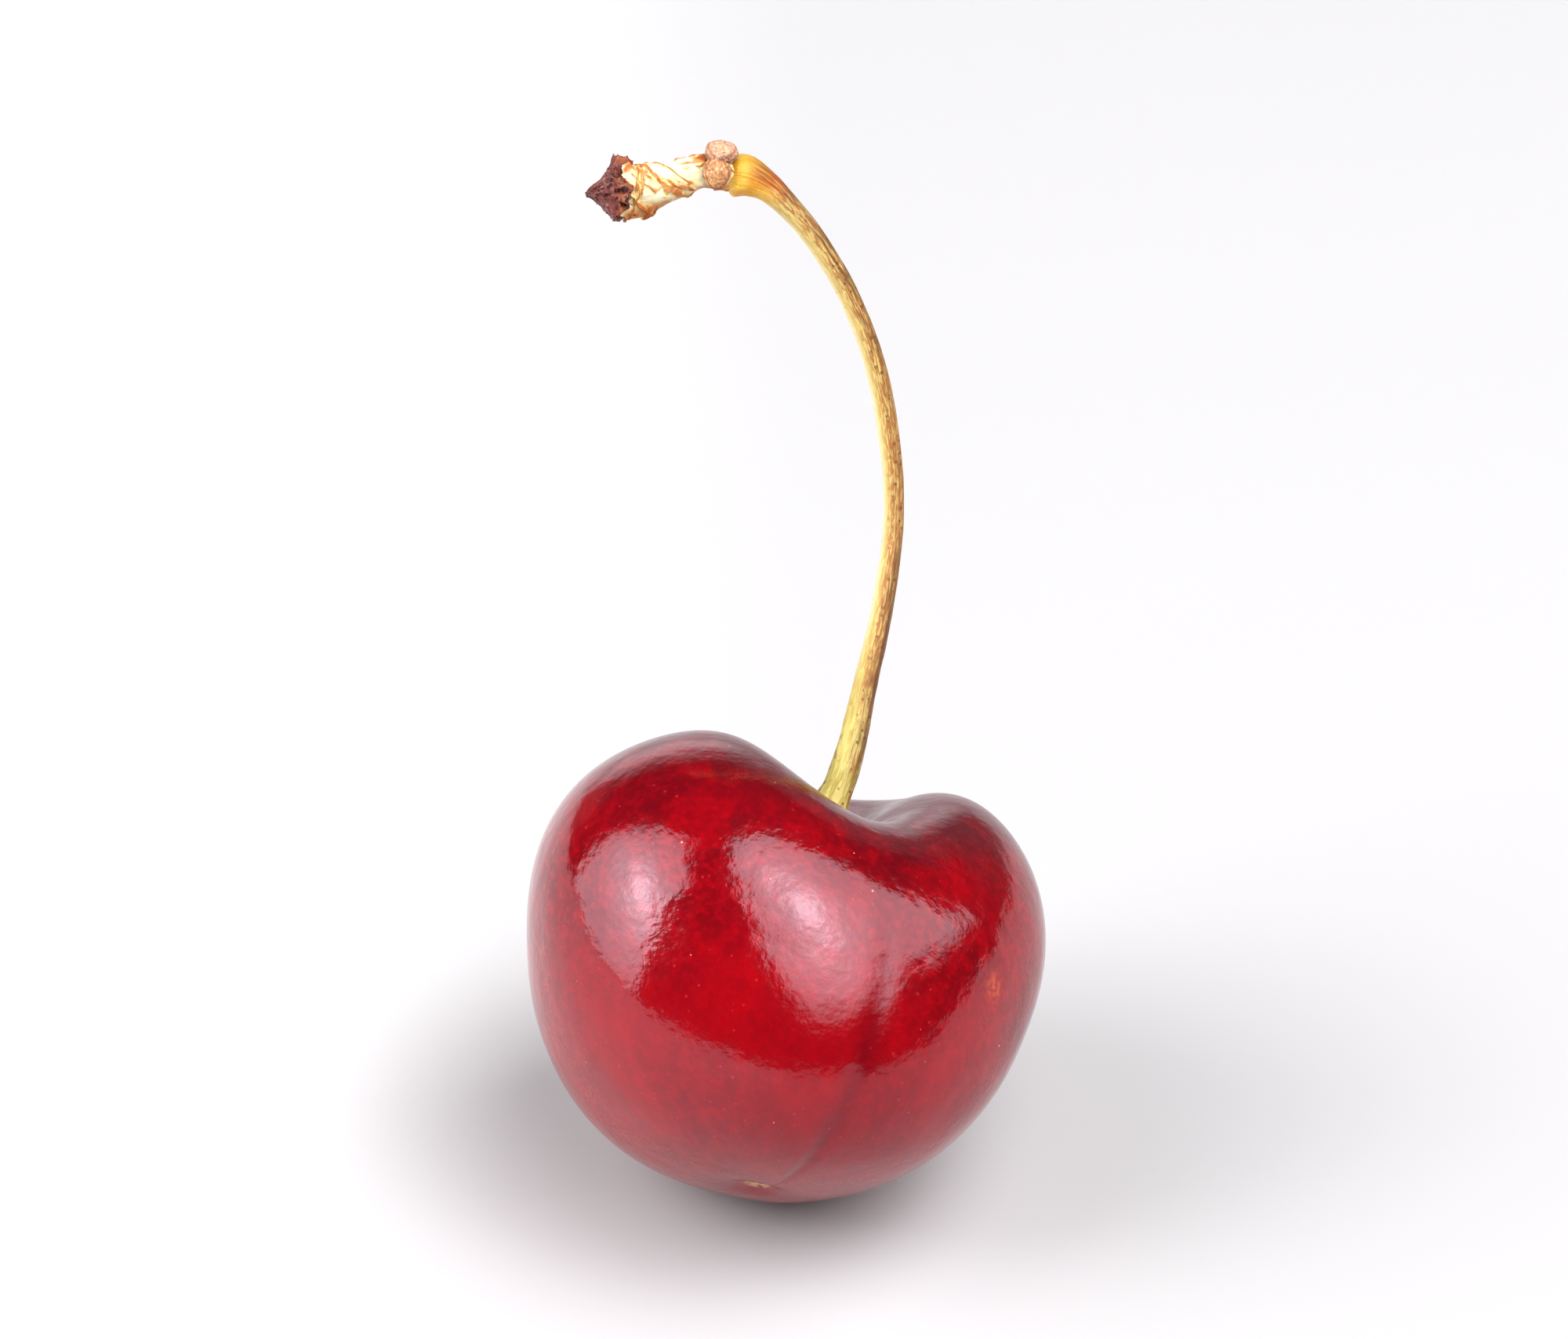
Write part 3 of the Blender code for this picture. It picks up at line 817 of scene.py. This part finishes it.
class CHERRY_OT_stalk(bpy.types.Operator):
    """Sweep the stalk along its route, with its foot in the cavity"""

    bl_idname = "cherry.stalk"
    bl_label = "Stalk"

    def execute(self, context):
        names = ("cherry_stalk", "cherry_stalk", "stalk", "stalk")
        form = (STALK_ROUTE, STALK_PROFILE, STALK_CAP, stalk_relief)
        material = stalk_material(context.scene.cherry_colours)
        return sweep(context.scene, *names, *form, material)


class CHERRY_OT_spur(bpy.types.Operator):
    """Sweep the peeled spur with its torn ridges"""

    bl_idname = "cherry.spur"
    bl_label = "Peeled spur"

    def execute(self, context):
        names = ("cherry_spur", "peeled_spur", "spur", "peeled_spur")
        form = (SPUR_ROUTE, SPUR_PROFILE, SPUR_CAP, spur_relief)
        material = spur_material(context.scene.cherry_colours, context.scene.cherry_spur.wind)
        return sweep(context.scene, *names, *form, material)


class CHERRY_OT_scales(bpy.types.Operator):
    """Seat the two bud scales on the spur beside the stalk's knuckle"""

    bl_idname = "cherry.scales"
    bl_label = "Bud scales"

    def execute(self, context):
        settings = context.scene.cherry_scales
        material = scale_material(context.scene.cherry_colours)
        for side, seating in SCALE_PLACES.items():
            tree = scale_tree(settings, material, seating)
            route = route_mesh("scale_route", SCALE_ROUTE, SCALE_PROFILE)
            item = grow(side + "_bud_scale", route, tree, settings)
            stand_for(item, "bud_scale_" + side)
        return {"FINISHED"}


class CHERRY_OT_tip(bpy.types.Operator):
    """Crumple the dry tip at the spur's torn end"""

    bl_idname = "cherry.tip"
    bl_label = "Dry tip"

    def execute(self, context):
        names = ("cherry_tip", "dry_bark_tip", "dry_tip", "dry_bark")
        form = (TIP_ROUTE, TIP_PROFILE, TIP_CAP, tip_relief)
        material = bark_material(context.scene.cherry_colours)
        return sweep(context.scene, *names, *form, material)


# Materials


def shader_group(name, *numbers):
    """A node group that puts out one mask. Gives its place and a field for each number."""
    tree = bpy.data.node_groups.new(name, "ShaderNodeTree")
    tree.interface.new_socket("Place", in_out="INPUT", socket_type="NodeSocketVector")
    for label in numbers:
        tree.interface.new_socket(label, in_out="INPUT", socket_type="NodeSocketFloat")
    tree.interface.new_socket("Mask", in_out="OUTPUT", socket_type="NodeSocketFloat")
    start = tree.nodes.new("NodeGroupInput")
    return tree, start.outputs["Place"], *(Field(start.outputs[label]) for label in numbers)


def build_specks(name):
    """Round specks scattered at random, of uneven sizes."""
    tree, place, spacing, radius, share = shader_group(name, "Spacing", "Radius", "Share")
    cells = add_node(tree, "ShaderNodeTexVoronoi", {"Vector": place, "Scale": spacing**-1})
    parts = add_node(tree, "ShaderNodeSeparateColor", {"Color": cells.outputs["Color"]})
    chosen, uneven = (Field(socket) for socket in parts.outputs[:2])
    limit = radius * (0.5 + uneven * 0.5)
    inside = Field(cells.outputs["Distance"]).rise(limit, limit * 0.55)
    add_node(tree, "NodeGroupOutput", {"Mask": inside * (chosen < share)})
    return tree


def build_mottle(name):
    """Cloudy patches with features of this size; a larger edge makes them softer."""
    tree, place, size, middle, edge = shader_group(name, "Size", "Middle", "Edge")
    feeds = {"Vector": place, "Scale": size**-1, "Detail": 4.0}
    patches = Field(output(tree, "ShaderNodeTexNoise", feeds))
    add_node(tree, "NodeGroupOutput", {"Mask": patches.rise(middle - edge, middle + edge)})
    return tree


def build_fibres(name):
    """Streaks along a stem, from its (cosine, sine, millimetres along) place."""
    tree, place, fineness, stretch, edge = shader_group(name, "Fineness", "Stretch", "Edge")
    x, y, z = separate(place)
    streaks = cloud(x * fineness, y * fineness, z * stretch, 3, 0.55)
    add_node(tree, "NodeGroupOutput", {"Mask": streaks.rise(0.5 - edge, 0.5 + edge)})
    return tree


def group_mask(name, build, place, *values):
    """The mask of this group, which is built the first time it is asked for."""
    group = bpy.data.node_groups.get(name) or build(name)
    feeds = dict(enumerate((place, *values)))
    return Field(output(place.id_data, "ShaderNodeGroup", feeds, node_tree=group))


def specks(place, spacing, radius, share):
    """Specks with this spacing in millimetres."""
    return group_mask("specks", build_specks, place, spacing * MM, radius, share)


def mottle(place, size, middle=0.5, edge=0.15):
    """Patches of this size in millimetres."""
    return group_mask("mottle", build_mottle, place, size * MM, middle, edge)


def fibres(place, fineness, stretch, edge=0.15):
    return group_mask("fibres", build_fibres, place, fineness, stretch, edge)


def paint(shader, base, layers, rough, height=None):
    """Feeds the shader.

    The layers are colours that lie over the base colour, each with its share. The height is the
    fine relief of the surface, in millimetres.
    """
    for over, share in layers:
        node = add_node(shader.id_data, "ShaderNodeMix", {0: share}, data_type="RGBA")
        for place, value in ((6, base), (7, over)):
            shade = value if isinstance(value, bpy.types.NodeSocket) else (*value, 1)
            feed(shade, node.inputs[place])
        base = node.outputs[2]
    feed(base, shader.inputs["Base Color"])
    feed(rough, shader.inputs["Roughness"])
    if height is not None:
        bump = output(shader.id_data, "ShaderNodeBump", {"Height": height, "Distance": MM})
        feed(bump, shader.inputs["Normal"])


def new_material(name):
    material = bpy.data.materials.new(name)
    material.use_nodes = True
    nodes = material.node_tree.nodes
    place = nodes.new("ShaderNodeTexCoord").outputs["Object"]
    return material, nodes["Principled BSDF"], place


def read_vector(shader, name):
    kinds = {"attribute_name": name, "attribute_type": "GEOMETRY"}
    return add_node(shader.id_data, "ShaderNodeAttribute", **kinds).outputs["Vector"]


def skin_material(colours):
    """Waxy skin: mottled crimson and scarlet, darker at the crown, with dots, a soft suture with
    painted shade in its groove, and painted light on the lower half.
    """
    material, shader, place = new_material("cherry skin")
    toward = read_vector(shader, "skin_direction")
    x, y, z = separate(toward)
    theta = z.math("ARCCOSINE")
    phi = x.math("ARCTAN2", -y)
    sideways = theta.sin()
    streak_place = combine(phi.cos(), phi.sin(), theta * 8)
    streaks = fibres(streak_place, 20.0, 1.4, 0.25)
    broad = fibres(streak_place, 6.0, 0.5, 0.2)
    clouds = mottle(place, 5.0, 0.5, 0.2)
    patches = mottle(place, 0.9, 0.52, 0.08)
    grains = mottle(place, 0.35, 0.55, 0.06)
    crown = (theta + broad * 0.2 + clouds * 0.15).rise(1.4, 0.75)
    # Painted shade along the suture's groove, growing towards the base
    swayed = phi - (0.03 - 0.04 * (1 - z)) * sideways
    line = bell(swayed, 0.055) * sideways * z.rise(0.9, -0.5)
    dots = specks(place, 0.6, 0.2, 0.5)
    white = specks(place, 1.1, 0.07, 0.6) * mottle(place, 7.0, 0.46, 0.1)
    pits = specks(place, 2.6, 0.06, 0.4)
    graze = bell(apart(toward, GRAZE_DIRECTION), 0.05) * mottle(place, 0.3)
    scar = theta.rise(math.pi - 0.09, math.pi - 0.04)
    flake = scar * mottle(place, 0.35, 0.45, 0.05)
    layers = [
        # Scarlet in cloudy patches, and over the lower half as painted light that lifts the shade
        # there
        (colours.scarlet, clouds * 0.4 + theta.rise(1.2, 2.3) * 0.5),
        (colours.scarlet, patches * 0.35 + grains * 0.35),
        (colours.maroon, (1 - streaks) * 0.08 + (1 - broad) * 0.18),
        (colours.maroon, crown * 0.74),
        # Painted shade in the suture's groove
        (colours.maroon, line * 0.4),
        (colours.lenticel, dots * 0.4 * (1 - crown * 0.7)),
        (PALE_DOT, white * 0.8),
        (PIT, pits * 0.8),
        (GRAZE, graze * 0.45),
        (SCAR, flake),
    ]
    wax = mottle(place, 0.5, 0.5, 0.3)
    lower = z.rise(0.1, -0.5)
    rough = 0.08 + wax * 0.05 + lower * 0.05 + crown * 0.09 + flake * 0.5
    fine = noise(place, 0.36 * MM, 2) * (0.015 + 0.006 * lower)
    slow = noise(place, 2.2 * MM, 2) * 0.075
    height = fine + slow + streaks * 0.001 - pits * 0.02 + flake * 0.03
    paint(shader, colours.crimson, layers, rough, height)
    shader.inputs["Specular Tint"].default_value = (1.0, 0.86, 0.98, 1)
    return material


def stalk_material(colours):
    """Straw rind with tan fibres, browner on its outer side with brown streaks and painted shade,
    a painted highlight along its inner edge, and a golden knuckle.
    """
    material, shader, place = new_material("cherry stalk")
    stem = read_vector(shader, "stem_place")
    x, y, z = separate(stem)
    dashes = fibres(stem, 6.0, 1.6, 0.03)
    # More tan towards the outer side: tan fibres, with painted shade on that side
    tan = dashes * (0.32 + 0.6 * y.rise(-0.7, 0.2)) + y.rise(-0.5, 0.6) * 0.2
    tan = tan + bell(z - 17.0, 8.0) * y.rise(-0.9, -0.1) * 0.34
    fine = fibres(stem, 9.0, 0.9, 0.1)
    patched = mottle(place, 0.9, 0.49, 0.05) * y.rise(-0.3, 0.3) * z.rise(13.0, 7.0)
    # Painted highlight: a cream band along the stalk's inner edge
    cream_highlight = y.rise(-0.55, -0.95) * z.rise(7.0, 13.0) * z.rise(37.0, 35.0)
    foot = z.rise(9.0, 4.0)
    light = fibres(stem, 3.6, 0.5, 0.05)
    nicks = mottle(place, 0.45, 0.52, 0.05) * abs(y).rise(0.72, 0.9)
    knuckle = z.rise(36.2, 38.6)
    amber = mottle(place, 1.1, 0.54, 0.1) * knuckle
    streaks = fibres(stem, 3.2, 0.4, 0.1)
    # Browner on the outer side: brown streaks, with painted shade on that side
    outer = (y + streaks * 0.5 - 0.25).rise(0.05, 0.9) * z.rise(39.4, 38.0)
    outer = outer * (0.45 + 0.55 * abs(z - 21.5).rise(3.0, 8.0)) * z.rise(0.5, 6.0)
    freckles = specks(place, 0.34, 0.44, 0.5) * z.rise(36.5, 34.0)
    bruise = bell(z - 37.6, 0.75) * y.rise(-0.4, 0.4) * (0.35 + 0.65 * streaks)
    layers = [
        (colours.stalk_green, z.rise(15.0, 3.0) * 0.8),
        (colours.stalk_tan, tan * (0.4 + 0.6 * z.rise(3.0, 9.0))),
        (colours.stalk_brown, fine * (0.14 + 0.24 * y.rise(-0.6, 0.6))),
        (FOOT_PATCH, patched * z.rise(2.6, 4.0) * 0.75),
        (CREAM_HIGHLIGHT, cream_highlight * 0.6),
        (FOOT_LIGHT, light * foot * 0.4),
        (FOOT_NICK, nicks * foot * 0.7),
        (colours.stalk_gold, knuckle * (1 - fine * 0.3) * 0.9),
        (KNUCKLE_LIGHT, knuckle * y.rise(0.1, -0.7) * 0.7),
        (KNUCKLE_OLIVE, knuckle * y.rise(0.3, 0.9) * 0.5),
        (AMBER, amber * 0.6),
        # Brown streaks and painted shade on the outer side
        (colours.stalk_brown, outer * (0.5 + 0.4 * streaks)),
        (colours.stalk_brown, freckles * (0.2 + 0.6 * y.rise(-0.6, 0.4))),
        (BRUISE, bruise * 0.85),
    ]
    height = dashes * 0.02 + fine * 0.015 + freckles * 0.01
    paint(shader, colours.stalk_straw, layers, 0.4 + fine * 0.15, height)
    shader.inputs["Specular IOR Level"].default_value = 0.35
    return material


def spur_material(colours, wind):
    """Pale peeled wood with torn orange-brown edges."""
    material, shader, place = new_material("peeled wood")
    stem = read_vector(shader, "stem_place")
    _, y, z = separate(stem)
    grain = fibres(stem, 5.0, 1.2)
    warm = mottle(place, 1.6, 0.54, 0.1)
    stain = torn_lines(stem, wind, 3.5)
    strands = fibres(stem, 3.0, 0.8, 0.06) * z.rise(3.4, 2.4) * y.rise(-0.1, 0.4)
    rind = y.rise(-0.62, -0.9) * mottle(place, 1.2, 0.45, 0.1)
    frayed = torn_lines(stem, wind, 1.9) * mottle(place, 0.4, 0.5, 0.12)
    torn = torn_lines(stem, wind, 0.8)
    rims = bell(z - 5.95, 0.35) * mottle(place, 0.8, 0.5, 0.08)
    layers = [
        (PALE_GRAIN, grain * 0.75),
        (STAIN, (warm * 0.2).most(stain * 0.6)),
        (colours.torn, strands * 0.7 + rind * 0.8),
        (colours.torn, frayed * 0.8),
        (TORN_CORE, torn * (0.7 + 0.3 * warm)),
        (colours.torn, rims * 0.9),
    ]
    height = grain * 0.03 + torn * 0.03
    paint(shader, colours.peeled, layers, 0.6 + grain * 0.2, height)
    shader.inputs["Specular IOR Level"].default_value = 0.3
    return material


def scale_material(colours):
    """Tan scale, pinker on the upper one, with dark specks, pale flecks and a darker edge."""
    material, shader, place = new_material("bud scale")
    x, y, turn_there = separate(read_vector(shader, "scale_place"))
    reach = (x**2 + y**2) ** 0.5
    mottled = mottle(place, 0.5)
    dark = noise(place, 0.11 * MM, 2).rise(0.55, 0.62)
    dark = dark * mottle(place, 0.4, 0.45, 0.1)
    flecks = noise(place, 0.16 * MM, 2).rise(0.44, 0.38)
    veins = abs(noise(place, 0.6 * MM, 2) - 0.5).rise(0.03, 0.01)
    rims = reach.rise(0.7, 0.8) * reach.rise(0.93, 0.84) + reach.rise(0.95, 1.0)
    layers = [
        (PALE_SCALE, mottled * 0.7),
        (PINK_SCALE, turn_there.rise(0.2, 0.8) * 0.55),
        (colours.scale_edge, dark * 0.8),
        (SCALE_FLECK, flecks * 0.45),
        (colours.scale_edge, veins * 0.35),
        (colours.scale_edge, rims * 0.5),
    ]
    height = mottled * 0.03 - dark * 0.02
    paint(shader, colours.scale, layers, 0.6 + mottled * 0.15, height)
    return material


def bark_material(colours):
    """Dark dried bark, paler along the crests of its creases as a painted highlight, and frayed at
    its rim.
    """
    material, shader, place = new_material("dry bark")
    stem = read_vector(shader, "stem_place")
    _, _, along = separate(stem)
    creases = tip_creases(stem)
    patches = mottle(place, 0.7, 0.5, 0.12)
    # Painted highlight on the crests of the creases
    crest_highlight = creases.rise(0.05, 0.0) * mottle(place, 0.5, 0.5, 0.1)
    frayed = along.rise(0.9, 0.1) * mottle(place, 0.6, 0.5, 0.08)
    layers = [
        # Painted highlight on the crests, with paler patches
        (colours.bark_light, creases.rise(0.12, 0.0) * 0.7 + patches * 0.3),
        (CREST_HIGHLIGHT, crest_highlight * 0.6),
        (RED_BARK, mottle(place, 1.1, 0.5, 0.1) * 0.55),
        (FRAYED_RIM, frayed * 0.85),
    ]
    folded = (abs(noise(place, 0.7 * MM, 4, 0.6) - 0.5) * 4).least(1)
    height = noise(place, 0.2 * MM, 5) * 0.06 - folded * 0.14
    paint(shader, colours.bark, layers, 0.42 + patches * 0.25, height)
    return material


# Stage


def staged(name, bm, material):
    mesh = bpy.data.meshes.new(name)
    bm.to_mesh(mesh)
    bm.free()
    mesh.materials.append(material)
    mesh.shade_smooth()
    item = bpy.data.objects.new(name, mesh)
    bpy.context.scene.collection.objects.link(item)
    return item


def pale_floor(tone):
    """A floor that sweeps up into a low backdrop, a little paler on the left, which is painted
    light.
    """
    material, shader, place = new_material("pale floor")
    x, _, _ = separate(place)
    layers = [
        ((tone * 0.98,) * 3, mottle(place, 300.0, 0.5, 0.3)),
        # Painted light: the floor paler on the left
        ((min(tone * 1.4, 0.8),) * 3, x.rise(5 * MM, -45 * MM)),
    ]
    paint(shader, (tone,) * 3, layers, 0.8)
    outline = [(FLOOR_FRONT, 0.0), (FLOOR_BACK, 0.0)]
    for k in range(1, BEND_FACES + 1):
        turn = k / BEND_FACES * math.pi / 2
        behind, above = BEND_RADIUS * math.sin(turn), BEND_RADIUS * (1 - math.cos(turn))
        outline.append((FLOOR_BACK + behind, above))
    outline.append((FLOOR_BACK + BEND_RADIUS, BACKDROP_HEIGHT))
    bm = bmesh.new()
    sides = (-FLOOR_SIDE, FLOOR_SIDE)
    edges = [[bm.verts.new((x, y, z)) for y, z in outline] for x in sides]
    for k in range(len(outline) - 1):
        bm.faces.new((edges[0][k], edges[1][k], edges[1][k + 1], edges[0][k + 1]))
    staged("pale_floor", bm, material)


def direction(azimuth, elevation):
    """The direction at this azimuth from the camera's side and this elevation, in degrees."""
    azimuth, elevation = math.radians(azimuth), math.radians(elevation)
    flat = math.cos(elevation)
    return Vector((math.sin(azimuth) * flat, -math.cos(azimuth) * flat, math.sin(elevation)))


def softbox(name, corners, core, distance, light, core_light):
    """A glowing panel with its corners in these directions, brightest at its core.

    Its light fades in from the edge, over the share of the way to the core that each corner has.
    """
    middle = direction(*core) * distance
    bm = bmesh.new()
    fading = bm.verts.layers.float.new("fade")
    centre = bm.verts.new(middle)
    rings = ([], [])
    for azimuth, elevation, soft in corners:
        outer = direction(azimuth, elevation) * distance
        rings[0].append(bm.verts.new(outer))
        rings[1].append(bm.verts.new(outer.lerp(middle, soft)))
    for vert in (centre, *rings[1]):
        vert[fading] = 1.0
    for k in range(len(corners)):
        after = (k + 1) % len(corners)
        bm.faces.new((rings[0][k], rings[0][after], rings[1][after]))
        bm.faces.new((rings[0][k], rings[1][after], rings[1][k]))
        bm.faces.new((rings[1][k], rings[1][after], centre))
    material = softbox_cloth(name + "_cloth", middle, light, core_light)
    return staged(name, bm, material)


def softbox_cloth(name, middle, light, core_light):
    material = bpy.data.materials.new(name)
    material.use_nodes = True
    tree = material.node_tree
    tree.nodes.clear()
    place = tree.nodes.new("ShaderNodeTexCoord").outputs["Object"]
    away = apart(place, middle)
    glow = 0.65 * bell(away, 0.11) + 0.35 * bell(away, 0.3)
    fade = add_node(tree, "ShaderNodeAttribute", attribute_name="fade").outputs["Fac"]
    strength = (light + (core_light - light) * glow) * Field(fade).rise(-0.12, 1.0)
    feeds = {"Color": (1.0, 0.985, 1.01, 1.0), "Strength": strength}
    emission = add_node(tree, "ShaderNodeEmission", feeds)
    add_node(tree, "ShaderNodeOutputMaterial", {"Surface": emission.outputs[0]})
    return material


def room(strength):
    world = bpy.data.worlds.new("room")
    world.use_nodes = True
    back = world.node_tree.nodes["Background"]
    back.inputs["Color"].default_value = (0.95, 0.97, 1.0, 1)
    back.inputs["Strength"].default_value = strength
    bpy.context.scene.world = world


def camera(focal_length):
    """Looks at the cherry from the photograph's side and height."""
    data = bpy.data.cameras.new("camera")
    data.lens = focal_length
    data.sensor_width = 36
    data.clip_start = 0.01
    item = bpy.data.objects.new("camera", data)
    bpy.context.scene.collection.objects.link(item)
    toward = Vector((0, -math.cos(VIEW_ELEVATION), math.sin(VIEW_ELEVATION)))
    target = FRUIT_CENTRE + LAID_BACK.to_3x3() @ VIEW_CENTRE
    item.location = target + toward * VIEW_DISTANCE
    item.rotation_mode = "QUATERNION"
    item.rotation_quaternion = (-toward).to_track_quat("-Z", "Y")
    bpy.context.scene.camera = item


class CHERRY_OT_stage(bpy.types.Operator):
    """Lay the pale floor, hang the softboxes and set up the camera"""

    bl_idname = "cherry.stage"
    bl_label = "Stage"

    def execute(self, context):
        settings = context.scene.cherry_stage
        pale_floor(settings.floor_tone)
        lights = (settings.box_distance, settings.box_light, settings.box_core)
        softbox("left_softbox", LEFT_BOX, LEFT_CORE, *lights)
        softbox("right_softbox", RIGHT_BOX, RIGHT_CORE, *lights)
        back = settings.back_light
        strip = softbox("back_strip", BACK_STRIP, BACK_CORE, settings.box_distance, back, back)
        strip.visible_camera = False
        room(settings.room_light)
        camera(settings.focal_length)
        context.scene.view_settings.view_transform = "Standard"
        return {"FINISHED"}


# Add-on


OPERATORS = (
    CHERRY_OT_fruit,
    CHERRY_OT_stalk,
    CHERRY_OT_spur,
    CHERRY_OT_scales,
    CHERRY_OT_tip,
    CHERRY_OT_stage,
)


class CHERRY_PT_panel(bpy.types.Panel):
    """Sizes and colours, with a button for each step"""

    bl_idname = "CHERRY_PT_panel"
    bl_label = "Cherry"
    bl_space_type = "VIEW_3D"
    bl_region_type = "UI"
    bl_category = "Cherry"

    def draw(self, context):
        for operator in OPERATORS:
            self.layout.operator(operator.bl_idname)
        for key, group in SETTINGS.items():
            box = self.layout.box()
            box.label(text=group.__doc__)
            for rule in group.__annotations__:
                box.prop(getattr(context.scene, key), rule)


def register():
    for item in (*SETTINGS.values(), *OPERATORS, CHERRY_PT_panel):
        bpy.utils.register_class(item)
    for key, group in SETTINGS.items():
        setattr(bpy.types.Scene, key, PointerProperty(type=group))


def unregister():
    for key in SETTINGS:
        delattr(bpy.types.Scene, key)
    for item in (CHERRY_PT_panel, *reversed(OPERATORS), *reversed(list(SETTINGS.values()))):
        bpy.utils.unregister_class(item)


def main():
    register()
    for step in ("fruit", "stalk", "spur", "scales", "tip", "stage"):
        getattr(bpy.ops.cherry, step)()
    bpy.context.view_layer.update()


if __name__ == "__main__":
    main()
